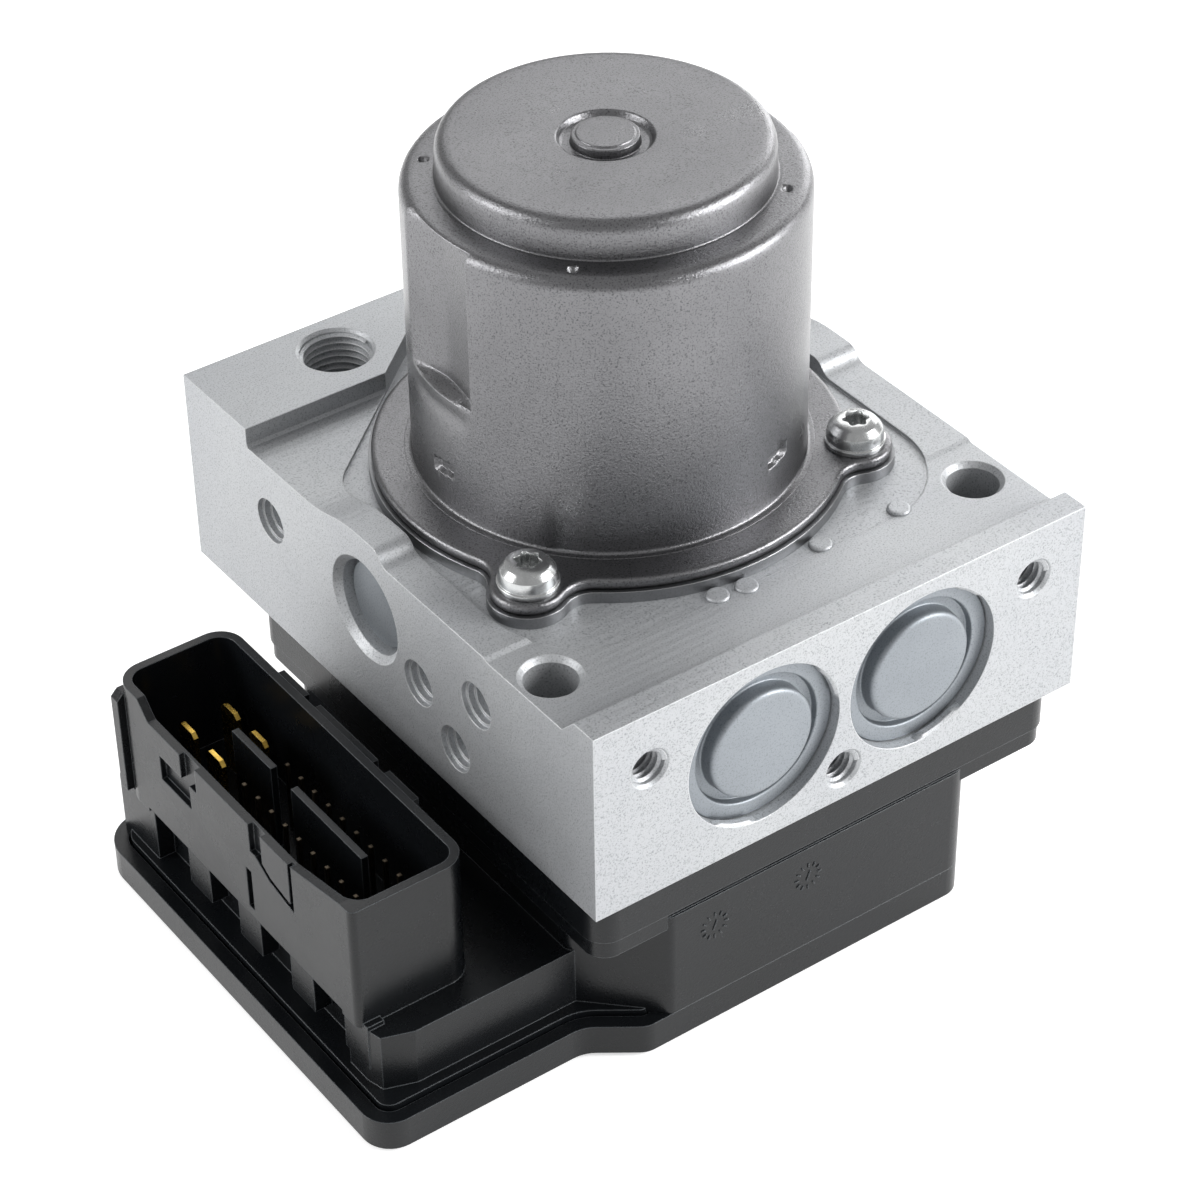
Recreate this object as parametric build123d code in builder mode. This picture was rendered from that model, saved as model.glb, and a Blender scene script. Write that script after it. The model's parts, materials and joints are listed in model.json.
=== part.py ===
from build123d import *
import os
from math import cos, radians, sin, sqrt

# Anti-lock brake module: a motor stands on a machined hydraulic block, and the block stands
# on a plastic electronics housing that carries the plug socket on its left side.
# Frame: Z is the motor axis and points up, Z = 0 is the underside of the housing cover,
# the face with the two round accumulator caps looks towards -Y and the socket lies towards -X.
# All sizes are in millimetres, and places in plan are measured from the motor axis.

# Electronics housing: heights
cover_height = 6.3
cover_floor = 2.0
foot_rise = 4.5
foot_height = 2.7
body_height = 17.7
collar_height = 10.5
collar_band = 7.2
collar_floor = 2.4

# Electronics housing: plan
cover_left = 80.1
cover_front = 51.3
cover_back = 33.0
cover_shoulder = 43.0
cover_slope = 35.0
cover_radii = (5.0, 6.0, 4.0, 4.0, 4.0, 7.0)
body_right = 28.8
body_left = 42.0
body_back = 31.0
body_corner = 11.4
body_radii = (2.0, 2.0, 4.0, 3.0, 3.0)
collar_back = 38.0
collar_right_inset = 2.7
collar_inset = 1.0
collar_step = 0.4
collar_radius = 4.0
housing_wall = 2.4
lip_wall = 2.4
glue_gap = 0.4
board_ledge = 0.8
cover_chamfer = 0.8

# Plug socket on the housing
tower_height = 11.5
tower_left = 76.0
tower_front = 46.6
tower_corner = 4.9
tower_facet = (0.8, 1.8)
tower_nose = 5.9
tower_overlap = 1.0
socket_height = 23.2
socket_left = 76.8
socket_right = 55.6
socket_front = 41.4
socket_back = 27.6
socket_wall = 1.5
socket_radii = (1.2, 4.5, 4.5, 4.5)
socket_cavity_radius = 3.0
socket_floor = 2.2
divider_height = 16.2
divider_wall = 1.2
short_divider = (-1.8, 9.6)
long_divider = (-27.5, -7.7)
panel_back = 20.0
panel_drop = 2.9
panel_rise = 0.8
panel_ramp = (24.5, 38.4)
panel_notches = ((3.0, 7.6, 0.0, 4.8), (-16.1, -12.6, 0.0, 5.4), (5.2, 14.3, 4.8, 9.6), (-12.4, -10.8, 9.8, 17.8))
tongue_gap = 1.0
slit_cut = 1.0
tongue_path = ((-14.4, 5.0), (-18.2, 7.3), (-24.3, 8.6), (-24.3, 0.0))
fin_width = 2.0
fin_root = 4.5
fin_reach = 0.7
fin_chamfer = 1.2
window_front = 37.0
window_depth = 3.0
window_wall = 1.8
rib_count = 4
rib_pitch = 15.2
rib_first = 13.7
rib_width = 6.5
rib_rise = 2.8
ledge_spans = ((8.0, 15.5), (-11.8, 4.7), (-23.0, -15.0))
ledge_thickness = 2.8
ledge_height = 2.4

# Terminals
terminal_row_right = 61.7
terminal_row_left = 69.5
terminal_tip_drop = 8.0
blade_width = 4.8
blade_thickness = 0.8
blade_places = (9.4, 17.9)
pin_width = 0.64
pin_count = 9
pin_pitch = 3.96
pin_first = 0.9
solder_length = 1.0
board_thickness = 1.6
board_depth = 8.2
board_clearance = 0.3

# Hydraulic block
block_left = 45.1
block_right = 47.7
block_front = 58.1
block_back = 54.6
block_height = 32.1
front_strip_drop = 0.45
front_strip_back = 31.5
ridge_rise = 2.6
ridge_back = 53.3
ridge_slope = 3.0
platform_rise = 3.5
platform_front = 35.5
platform_round = 0.4
bump_rise = 2.2
bump_top = (-0.7, 3.5)
bump_foot = (-5.1, 18.9)
pocket_depth = 0.6
pocket_left_gap = 1.1
pocket_right_gap = 2.5
pocket_front_gap = 1.8
pocket_back_gap = 2.2
pocket_shoulder = 18.4
pocket_back_left = -4.0
pocket_back_right = 7.7
pocket_radii = (16.0, 16.0, 9.0, 5.0, 5.0, 9.0)

# Holes for the customer's side
mount_hole_radius = 3.0
mount_hole_depth = 11.0
mount_hole_places = ((-35.1, 24.5), (1.3, 5.9), (37.9, 25.4))
dowel_radius = 4.2
dowel_depth = 16.0
dowel_chamfer = 0.8
dowel_places = ((-39.35, -39.6), (41.4, -39.3))
inlet_port_radius = 6.0
inlet_port_depth = 14.0
inlet_port_places = ((-21.5, 45.9), (24.1, 45.9))
outlet_port_radius = 5.0
outlet_port_depth = 12.0
outlet_port_pitch = 21.0
outlet_port_rise = 16.0
port_seat_radius = 2.0
port_seat_depth = 5.0
hole_chamfer = 0.5
drill_point_share = 0.36

# Closing plugs
face_plug_places = ((29.7, 21.1), (-12.2, 15.2), (-28.1, 21.3), (-21.8, 8.6))
face_plug_steps = ((0.9, 3.9), (2.0, 3.4), (3.1, 2.85), (8.0, 2.3))
ball_clearance = 0.05
dome_plug_columns = (27.2, 11.9, -3.5, -8.4)
dome_plug_gaps = (7.2, 0.2, 0.1, 0.1)
dome_plug_radius = 1.9
dome_plug_rise = 0.4
dome_plug_depth = 1.6

# Low-pressure accumulators
accumulator_middle = 1.1
accumulator_pitch = 30.3
accumulator_rise = 18.1
cap_radius = 14.1
cap_recess = 1.9
cap_disc_recess = 0.4
cap_disc_round = 1.0
cap_sheet = 1.2
cap_groove_radius = 11.1
cap_disc_radius = 9.7
cap_groove_depth = 1.2
cap_cup_radius = 12.4
accumulator_radius = 11.6
accumulator_stroke = 8.0
accumulator_spring_radius = 7.2
piston_length = 8.5
piston_floor = 4.5
piston_seat_gap = 0.3
piston_end_gap = 0.5
piston_wall = 1.7
ring_width = 2.2
ring_depth = 1.6
accumulator_wire = 1.0
accumulator_coils = 3
running_gap = 0.08
fit_gap = 0.05

# Pumps
pump_rise = 20.3
pump_offset = 2.3
pump_bore_radius = 8.05
pump_mouth_radius = 9.2
pump_step = 20.0
pump_guide_radius = 4.0
pump_plug_recess = 2.6
pump_plug_length = 5.0
pump_piston_radius = 3.0
pump_piston_length = 18.2
pump_collar_radius = 4.2
pump_collar_width = 1.2
pump_chamber_radius = 5.0
pump_spring_radius = 3.7
pump_wire = 0.8
pump_coils = 4
cam_radius = 6.0
cam_throw = 1.0
cam_ring_radius = 9.0
cam_ring_width = 7.6
cam_clearance = 0.2
cam_chamber_radius = 12.0
cam_chamber_depth = 9.8

# Motor
flange_thickness = 1.9
flange_width = 6.4
ear_radius = 5.9
ear_blend = 5.0
end_plate_thickness = 2.0
end_plate_lip = 0.5
motor_screw_angles = (216.26, 321.13, 90.0)
motor_screw_reach = (2.16, 1.0, 2.0)
motor_screw_radius = 2.5
motor_screw_depth = 10.0
screw_hole_allowance = 2.0
screw_head_radius = 4.1
screw_head_height = 3.4
screw_head_round = 2.0
button_head_radius = 4.6
screw_washer_radius = 4.9
screw_washer_height = 0.9
can_radius = 31.0
can_wall = 1.6
can_height = 48.2
can_foot_radius = 1.4
shoulder_radius = 3.0
shoulder_width = 5.5
dome_rise = 6.5
dome_round = 2.4
dome_dish = 0.5
boss_radius = 5.2
boss_ring = 1.8
boss_rise = 0.3
boss_groove = 1.2
boss_land = 0.85
press_width = 15.0
press_depth = 1.8
press_bottom = 20.6
press_top = 0.9
lance_angles = (180.0, 290.0, 70.0)
lance_width = 4.6
lance_height = 2.2
lance_rise = 6.4
lance_depth = 0.7
hub_radius = 13.0
hub_depth = 7.0
hub_lip = 0.6
hub_lip_width = 2.0
bearing_radius = 11.0
bearing_width = 7.0
shaft_radius = 4.0
shaft_tip_radius = 3.0
shaft_end = 4.0
shaft_neck = 4.0
rear_bearing_radius = 5.7
rear_bearing_length = 5.0
rear_bearing_wall = 1.6
rear_bearing_drop = 1.2
magnet_gap = 0.2
magnet_thickness = 5.0
magnet_length = 34.0
magnet_arc = 132.0
air_gap = 1.2
armature_length = 26.0
armature_rise = 15.6
slot_count = 10
slot_width = 3.0
slot_depth = 7.0
winding_overhang = 5.5
winding_drop = 2.5
winding_bore = 9.0
commutator_radius = 10.0
commutator_length = 7.6
commutator_rise = 2.0
segment_count = 10
slit_width = 0.4
slit_depth = 1.0
brush_plate_thickness = 2.2
brush_box_width = 8.0
brush_box_height = 6.6
brush_width = 6.0
brush_height = 5.0
brush_length = 9.5
brush_wrap = 1.0
seal_width = 1.9
seal_height = 1.1

# Motor lead through the block
lead_x = -6.75
lead_inset = 11.4
lead_radius = 3.0
lead_bore_gap = 0.4
lead_pin_width = 1.6
lead_pin_pitch = 2.6

# Valves and coils
valve_column_pitch = 15.5
valve_column_middle = -6.75
valve_rows = (-28.5, 11.0)
valve_radius = 4.95
valve_depth = 8.7
valve_end_gap = 0.3
dome_tube_radius = 3.3
dome_tube_wall = 0.55
inlet_tube_length = 21.0
outlet_tube_length = 19.0
core_length = 7.7
armature_travel = 0.3
orifice_radius = 0.6
coil_radius = 6.2
bobbin_radius = 6.8
bobbin_flange = 1.2
coil_height = 17.0
coil_top_gap = 2.5
coil_bore_gap = 0.2
coil_pin_pitch = 9.4
coil_pin_width = 0.9

# Housing screws
housing_screw_places = ((-34.0, -43.0), (-34.0, 23.0), (38.5, -50.0), (38.5, 31.0))
housing_screw_radius = 2.5
housing_screw_depth = 10.0
housing_boss_radius = 5.2
housing_seal_width = 1.6
housing_seal_height = 1.2
housing_seal_inset = 1.0

# Levels that follow from the sizes above
foot_top = foot_rise + foot_height
collar_z = cover_height + body_height
block_z = collar_z + collar_height
top_z = block_z + block_height
strip_z = top_z - front_strip_drop
pocket_z = top_z - pocket_depth
plate_z = pocket_z + end_plate_thickness
flange_z = plate_z + flange_thickness
shoulder_z = flange_z + can_height
dome_edge_z = shoulder_z + dome_rise
dome_z = dome_edge_z - dome_dish
tower_z = cover_height + tower_height
rim_z = tower_z + socket_height
socket_floor_z = tower_z + socket_floor
board_top_z = tower_z - board_depth
window_top = tower_z + panel_rise
panel_top = rim_z - panel_drop
pump_z = block_z + pump_rise
accumulator_z = block_z + accumulator_rise
hub_z = pocket_z - hub_depth
cup_depth = cap_recess + cap_groove_depth + cap_sheet
accumulator_depth = cup_depth + piston_end_gap + accumulator_stroke + piston_length + piston_seat_gap
cam_chamber_z = pump_z - cam_chamber_depth
can_inner = can_radius - can_wall
dome_radius = can_radius - shoulder_width
flange_radius = can_radius + flange_width
plate_radius = flange_radius + end_plate_lip
motor_screw_places = [
    ((flange_radius + reach) * cos(radians(angle)), (flange_radius + reach) * sin(radians(angle)))
    for angle, reach in zip(motor_screw_angles, motor_screw_reach)
]
pocket_left = plate_radius + pocket_left_gap
pocket_right = plate_radius + pocket_right_gap
pocket_front = plate_radius + pocket_front_gap
pocket_back = motor_screw_places[2][1] + ear_radius + end_plate_lip + pocket_back_gap
dome_plug_places = [
    (x, -sqrt((plate_radius + dome_plug_radius + gap) ** 2 - x**2))
    for x, gap in zip(dome_plug_columns, dome_plug_gaps)
]
lead_place = (lead_x, lead_inset - can_inner)
accumulator_places = (
    ("left", accumulator_middle - accumulator_pitch / 2),
    ("right", accumulator_middle + accumulator_pitch / 2),
)
valve_columns = [valve_column_middle + valve_column_pitch * (i - 1.5) for i in range(4)]
inlet_places = [(x, valve_rows[0]) for x in valve_columns]
outlet_places = [(x, valve_rows[1]) for x in valve_columns]
wall_front = block_front - collar_inset
collar_left = block_left - collar_inset
collar_right = block_right - collar_right_inset

os.makedirs("parts", exist_ok=True)

# Plan outlines of the electronics housing

with BuildSketch() as cover_outline:
    with BuildLine():
        FilletPolyline(
            (-cover_left, -cover_front),
            (-cover_shoulder, -cover_front),
            (-cover_slope, -wall_front),
            (body_right, -wall_front),
            (body_right, cover_back),
            (-cover_left, cover_back),
            radius=cover_radii,
            close=True,
        )
    make_face()

with BuildSketch() as body_outline:
    with BuildLine():
        FilletPolyline(
            (-body_left, -wall_front + body_corner),
            (-body_left + body_corner, -wall_front),
            (body_right, -wall_front),
            (body_right, body_back),
            (-body_left, body_back),
            radius=body_radii,
            close=True,
        )
    make_face()

with BuildSketch() as tower_outline:
    with BuildLine():
        Polyline(
            (-tower_left, body_back),
            (-tower_left, -tower_front + tower_corner),
            (-tower_left + tower_facet[0], -tower_front + tower_facet[1]),
            (-tower_left + tower_nose, -tower_front),
            (-body_left + tower_overlap, -tower_front),
            (-body_left + tower_overlap, body_back),
            close=True,
        )
    make_face()

with BuildSketch() as chamber_outline:
    chamber_left = tower_left - window_depth - window_wall
    chamber_right = body_left - 2 * housing_wall
    chamber_front = tower_front - housing_wall
    chamber_back = body_back - housing_wall
    add(body_outline.sketch)
    offset(amount=-housing_wall)
    with Locations((-(chamber_left + chamber_right) / 2, (chamber_back - chamber_front) / 2)):
        Rectangle(chamber_left - chamber_right, chamber_back + chamber_front)

with BuildSketch() as collar_outline:
    with BuildLine():
        FilletPolyline(
            (-collar_left, -wall_front),
            (collar_right, -wall_front),
            (collar_right, collar_back),
            (-collar_left, collar_back),
            radius=collar_radius,
            close=True,
        )
    make_face()

# Places of the terminals: four blades and two rows of pins
blade_points = [(-x, y) for x in (terminal_row_left, terminal_row_right) for y in blade_places]
pin_points = [
    (-x, pin_first - pin_pitch * i)
    for x in (terminal_row_left, terminal_row_right)
    for i in range(pin_count)
]
lead_points = [(lead_place[0] + shift, lead_place[1]) for shift in (-lead_pin_pitch / 2, lead_pin_pitch / 2)]
terminal_tip_z = rim_z - terminal_tip_drop
terminal_foot_z = board_top_z - board_thickness - solder_length

# Electronics cover: a shallow tray whose lip takes the foot of the housing

with BuildPart() as ecu_cover:
    add(cover_outline.sketch)
    extrude(amount=cover_height)
    with BuildSketch(Plane.XY.offset(cover_floor)):
        add(cover_outline.sketch)
        offset(amount=-lip_wall)
    extrude(amount=cover_height, mode=Mode.SUBTRACT)
    chamfer(ecu_cover.faces().sort_by(Axis.Z)[0].edges(), length=cover_chamfer)
ecu_cover.part.label = "ecu_cover"
export_step(ecu_cover.part, "parts/ecu_cover.step")

# Electronics housing: foot, body, tower with the socket, and collar under the block

with BuildPart() as ecu_housing:
    with BuildSketch(Plane.XY.offset(foot_rise)):
        add(cover_outline.sketch)
        offset(amount=-lip_wall - glue_gap)
    extrude(amount=foot_height)
    with BuildSketch(Plane.XY.offset(cover_height)):
        add(body_outline.sketch)
    extrude(amount=body_height + collar_floor)
    with BuildSketch(Plane.XY.offset(cover_height)):
        add(tower_outline.sketch)
    extrude(amount=tower_height)
    with BuildSketch(Plane.XY.offset(collar_z)):
        add(collar_outline.sketch)
        offset(amount=-collar_step)
    extrude(amount=collar_height)
    with BuildSketch(Plane.XY.offset(block_z - collar_band)):
        add(collar_outline.sketch)
    extrude(amount=collar_band)

    # Socket shell
    with BuildSketch(Plane.XY.offset(tower_z)):
        with BuildLine():
            FilletPolyline(
                (-socket_left, -socket_front),
                (-socket_right, -socket_front),
                (-socket_right, socket_back),
                (-socket_left, socket_back),
                radius=socket_radii,
                close=True,
            )
        make_face()
    extrude(amount=socket_height)

    # Fin at the far outer corner and ledges on the inner long side
    with BuildSketch(Plane.XZ.offset(-socket_back)):
        with BuildLine():
            Polyline(
                (-socket_left + fin_root, window_top),
                (-socket_left - fin_reach, window_top),
                (-socket_left - fin_reach, panel_top - fin_chamfer),
                (-socket_left - fin_reach + fin_chamfer, panel_top),
                (-socket_left + fin_root, panel_top),
                close=True,
            )
        make_face()
    extrude(amount=fin_width)
    for ledge_start, ledge_end in ledge_spans:
        with BuildSketch(Plane.YZ.offset(-socket_right)):
            with Locations(((ledge_start + ledge_end) / 2, panel_top - ledge_height / 2)):
                Rectangle(ledge_end - ledge_start, ledge_height)
        extrude(amount=ledge_thickness)

    # Socket cavity, the lowered outer wall with its slots and tongue, and two dividing walls
    with BuildSketch(Plane.XY.offset(socket_floor_z)):
        with BuildLine():
            FilletPolyline(
                (-socket_left + socket_wall, -socket_front + socket_wall),
                (-socket_right - socket_wall, -socket_front + socket_wall),
                (-socket_right - socket_wall, socket_back - socket_wall),
                (-socket_left + socket_wall, socket_back - socket_wall),
                radius=socket_cavity_radius,
                close=True,
            )
        make_face()
    extrude(amount=socket_height, mode=Mode.SUBTRACT)
    with BuildSketch(Plane.YZ.offset(-socket_left)):
        with BuildLine():
            Polyline(
                (-panel_ramp[1], rim_z),
                (-panel_ramp[0], panel_top),
                (panel_back - panel_drop, panel_top),
                (panel_back, rim_z),
                close=True,
            )
        make_face()
    extrude(amount=2 * socket_wall, mode=Mode.SUBTRACT)
    with BuildSketch(Plane.YZ.offset(-socket_left)):
        for notch_start, notch_end, notch_high, notch_low in panel_notches:
            with Locations(((notch_start + notch_end) / 2, panel_top - (notch_high + notch_low) / 2)):
                Rectangle(notch_end - notch_start, notch_low - notch_high)
        with BuildLine():
            Polyline(*[(y, panel_top - drop) for y, drop in tongue_path])
        trace(line_width=tongue_gap)
    extrude(amount=slit_cut, mode=Mode.SUBTRACT)
    divider_x = -(terminal_row_left + terminal_row_right) / 2
    for divider_start, divider_end in (short_divider, long_divider):
        with BuildSketch(Plane.XY.offset(socket_floor_z)):
            with Locations((divider_x, (divider_start + divider_end) / 2)):
                Rectangle(divider_wall, divider_end - divider_start)
        extrude(amount=divider_height)

    # Row of windows under the panel, with hanging ribs between them
    with BuildSketch(Plane.XY.offset(foot_top)):
        with Locations((-tower_left, (panel_back - window_front) / 2)):
            Rectangle(2 * window_depth, window_front + panel_back)
    extrude(amount=window_top - foot_top, mode=Mode.SUBTRACT)
    for rib in range(rib_count):
        rib_y = panel_back - rib_first - rib_pitch * rib
        with BuildSketch(Plane.XY.offset(foot_top + rib_rise)):
            with Locations((-tower_left + window_depth / 2, rib_y)):
                Rectangle(window_depth, rib_width)
        extrude(amount=window_top - foot_top - rib_rise)

    # Board chamber below, valve chamber above, and the hollow of the collar
    with BuildSketch(Plane.XY.offset(foot_rise)):
        add(chamber_outline.sketch)
    extrude(amount=board_top_z - foot_rise, mode=Mode.SUBTRACT)
    with BuildSketch(Plane.XY.offset(board_top_z)):
        add(chamber_outline.sketch)
        offset(amount=-board_ledge)
    extrude(amount=tower_z - housing_wall - board_top_z, mode=Mode.SUBTRACT)
    with BuildSketch(Plane.XY.offset(board_top_z)):
        add(body_outline.sketch)
        offset(amount=-housing_wall - board_ledge)
    extrude(amount=block_z - board_top_z, mode=Mode.SUBTRACT)
    with BuildSketch(Plane.XY.offset(collar_z + collar_floor)):
        add(collar_outline.sketch)
        offset(amount=-housing_seal_inset - housing_seal_width - housing_wall / 2)
    extrude(amount=collar_height, mode=Mode.SUBTRACT)

    # Screw bosses, and the groove for the seal in the collar's upper face
    with BuildSketch(Plane.XY.offset(collar_z)):
        with Locations(*housing_screw_places):
            Circle(housing_boss_radius)
    extrude(amount=collar_height)
    with BuildSketch(Plane.XY.offset(collar_z)):
        with Locations(*housing_screw_places):
            Circle(housing_screw_radius + fit_gap)
    extrude(amount=collar_height, mode=Mode.SUBTRACT)
    with BuildSketch(Plane.XY.offset(block_z - housing_seal_height)):
        add(collar_outline.sketch)
        offset(amount=-housing_seal_inset)
        with BuildSketch(mode=Mode.SUBTRACT):
            add(collar_outline.sketch)
            offset(amount=-housing_seal_inset - housing_seal_width)
    extrude(amount=housing_seal_height, mode=Mode.SUBTRACT)

    # Slots for the terminals
    with BuildSketch(Plane.XY.offset(tower_z - housing_wall)):
        with Locations(*blade_points):
            Rectangle(blade_thickness, blade_width)
        with Locations(*pin_points):
            Rectangle(pin_width, pin_width)
    extrude(amount=housing_wall + socket_floor, mode=Mode.SUBTRACT)
ecu_housing.part.label = "ecu_housing"
export_step(ecu_housing.part, "parts/ecu_housing.step")

# Seal between the housing collar and the block

with BuildPart() as ecu_seal:
    with BuildSketch(Plane.XY.offset(block_z - housing_seal_height)):
        add(collar_outline.sketch)
        offset(amount=-housing_seal_inset)
        with BuildSketch(mode=Mode.SUBTRACT):
            add(collar_outline.sketch)
            offset(amount=-housing_seal_inset - housing_seal_width)
    extrude(amount=housing_seal_height)
ecu_seal.part.label = "ecu_seal"
export_step(ecu_seal.part, "parts/ecu_seal.step")

# Circuit board with the holes for every terminal

with BuildPart() as circuit_board:
    with BuildSketch(Plane.XY.offset(board_top_z - board_thickness)):
        add(chamber_outline.sketch)
        offset(amount=-board_clearance)
        with Locations(*blade_points):
            Rectangle(blade_thickness + fit_gap, blade_width + fit_gap, mode=Mode.SUBTRACT)
        with Locations(*pin_points):
            Rectangle(pin_width + fit_gap, pin_width + fit_gap, mode=Mode.SUBTRACT)
        with Locations(*lead_points):
            Rectangle(blade_thickness + fit_gap, lead_pin_width + fit_gap, mode=Mode.SUBTRACT)
    extrude(amount=board_thickness)
circuit_board.part.label = "circuit_board"
export_step(circuit_board.part, "parts/circuit_board.step")

# Socket terminals

with BuildPart() as power_blades:
    with BuildSketch(Plane.XY.offset(terminal_foot_z)):
        with Locations(*blade_points):
            Rectangle(blade_thickness, blade_width)
    extrude(amount=terminal_tip_z - terminal_foot_z)
    chamfer(
        power_blades.faces().filter_by(Axis.Z).group_by(Axis.Z)[-1].edges().filter_by(Axis.X),
        length=blade_thickness,
    )
power_blades.part.label = "power_blades"
export_step(power_blades.part, "parts/power_blades.step")

with BuildPart() as signal_pins:
    with BuildSketch(Plane.XY.offset(terminal_foot_z)):
        with Locations(*pin_points):
            Rectangle(pin_width, pin_width)
    extrude(amount=terminal_tip_z - terminal_foot_z)
signal_pins.part.label = "signal_pins"
export_step(signal_pins.part, "parts/signal_pins.step")

# Hydraulic block: extruded section, then every pocket, bore and port

with BuildPart() as hydraulic_block:
    bump_z = top_z + bump_rise
    platform_z = top_z + platform_rise
    with BuildSketch(Plane.YZ.offset(-block_left)):
        with BuildLine():
            Polyline(
                (bump_foot[1], top_z),
                (platform_front - platform_round, top_z),
                (platform_front, top_z + platform_round),
                (platform_front, platform_z),
                (block_back, platform_z),
                (block_back, block_z),
                (-block_front, block_z),
                (-block_front, top_z + ridge_rise),
                (-ridge_back, top_z + ridge_rise),
                (-ridge_back + ridge_slope, strip_z),
                (-front_strip_back, strip_z),
                (-front_strip_back + 2 * front_strip_drop, top_z),
                (bump_foot[0], top_z),
            )
            front_mid = ((bump_foot[0] + bump_top[0]) / 2, top_z + bump_rise / 2)
            front_rise = TangentArc((bump_foot[0], top_z), front_mid, tangent=(1, 0))
            TangentArc(front_mid, (bump_top[0], bump_z), tangent=front_rise % 1)
            Line((bump_top[0], bump_z), (bump_top[1], bump_z))
            back_mid = ((bump_foot[1] + bump_top[1]) / 2, top_z + bump_rise / 2)
            back_crest = TangentArc((bump_top[1], bump_z), back_mid, tangent=(1, 0))
            TangentArc(back_mid, (bump_foot[1], top_z), tangent=back_crest % 1)
        make_face()
    extrude(amount=block_left + block_right)

    # Milled seat of the motor, spigot bore, seal groove and cam chamber
    with BuildSketch(Plane.XY.offset(pocket_z)):
        with BuildLine():
            FilletPolyline(
                (-pocket_left, -pocket_front),
                (pocket_right, -pocket_front),
                (pocket_right, pocket_shoulder),
                (pocket_back_right, pocket_back),
                (pocket_back_left, pocket_back),
                (-pocket_left, pocket_shoulder),
                radius=pocket_radii,
                close=True,
            )
        make_face()
    extrude(amount=block_height, mode=Mode.SUBTRACT)
    with Locations((0, 0, pocket_z)):
        CounterBoreHole(
            radius=hub_radius + fit_gap,
            counter_bore_radius=hub_radius + seal_width + fit_gap,
            counter_bore_depth=seal_height,
            depth=hub_depth + hub_lip,
        )
        Hole(radius=cam_chamber_radius, depth=pocket_z - cam_chamber_z)

    # Pump bores from both sides
    for side, face_x in ((-1, block_left), (1, block_right)):
        pump_axis = Axis((0, pump_offset, pump_z), (1, 0, 0))
        mouth_depth = pump_mouth_radius - pump_bore_radius
        with BuildSketch(Plane.XY.offset(pump_z)):
            with BuildLine():
                Polyline(
                    (0, pump_offset),
                    (side * face_x, pump_offset),
                    (side * face_x, pump_offset + pump_mouth_radius),
                    (side * (face_x - mouth_depth), pump_offset + pump_bore_radius),
                    (side * pump_step, pump_offset + pump_bore_radius),
                    (side * pump_step, pump_offset + pump_guide_radius),
                    (0, pump_offset + pump_guide_radius),
                    close=True,
                )
            make_face()
        revolve(axis=pump_axis, mode=Mode.SUBTRACT)

    # Accumulator bores with the seats of their caps
    with BuildSketch(Plane.XZ.offset(block_front)):
        with Locations(*[(x, accumulator_z) for name, x in accumulator_places]):
            Circle(cap_radius + fit_gap)
    extrude(amount=-cap_recess - cap_sheet, mode=Mode.SUBTRACT)
    with BuildSketch(Plane.XZ.offset(block_front)):
        with Locations(*[(x, accumulator_z) for name, x in accumulator_places]):
            Circle(cap_cup_radius)
    extrude(amount=-cup_depth - cap_sheet, mode=Mode.SUBTRACT)
    with BuildSketch(Plane.XZ.offset(block_front)):
        with Locations(*[(x, accumulator_z) for name, x in accumulator_places]):
            Circle(accumulator_radius)
    extrude(amount=-accumulator_depth, mode=Mode.SUBTRACT)

    # Fixing holes, dowel bores, inlet ports on the platform and outlet ports at the back
    point_align = (Align.CENTER, Align.CENTER, Align.MAX)
    with Locations(Plane.XZ.offset(block_front)):
        with Locations(*[(x, block_z + rise) for x, rise in mount_hole_places]):
            CounterSinkHole(mount_hole_radius, mount_hole_radius + hole_chamfer, mount_hole_depth, 90)
    with Locations(Plane.XZ.offset(block_front - mount_hole_depth)):
        with Locations(*[(x, block_z + rise) for x, rise in mount_hole_places]):
            Cone(0, mount_hole_radius, mount_hole_radius * drill_point_share, align=point_align, mode=Mode.SUBTRACT)
    with Locations(*[(x, y, strip_z) for x, y in dowel_places]):
        CounterSinkHole(dowel_radius, dowel_radius + dowel_chamfer, dowel_depth, 90)
    with Locations(*[(x, y, strip_z - dowel_depth) for x, y in dowel_places]):
        Cone(0, dowel_radius, dowel_radius * drill_point_share, align=point_align, mode=Mode.SUBTRACT)
    with Locations(*[(x, y, platform_z) for x, y in inlet_port_places]):
        CounterSinkHole(inlet_port_radius, inlet_port_radius + hole_chamfer, inlet_port_depth, 90)
        Hole(port_seat_radius, inlet_port_depth + port_seat_depth)
    outlet_middle = (block_right - block_left) / 2
    with Locations(-Plane.XZ.offset(-block_back)):
        with Locations((outlet_middle, -block_z - outlet_port_rise)):
            with GridLocations(outlet_port_pitch, 1, 4, 1):
                CounterSinkHole(outlet_port_radius, outlet_port_radius + hole_chamfer, outlet_port_depth, 90)
                Hole(port_seat_radius, outlet_port_depth + port_seat_depth)

    # Stepped holes of the staked ball plugs on the left side, and holes of the domed plugs
    for step_depth, step_radius in face_plug_steps:
        with BuildSketch(Plane.YZ.offset(-block_left)):
            with Locations(*[(y, block_z + rise) for y, rise in face_plug_places]):
                Circle(step_radius)
        extrude(amount=step_depth, mode=Mode.SUBTRACT)
    with Locations(*[(x, y, strip_z) for x, y in dome_plug_places]):
        Hole(dome_plug_radius, dome_plug_depth)

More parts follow.
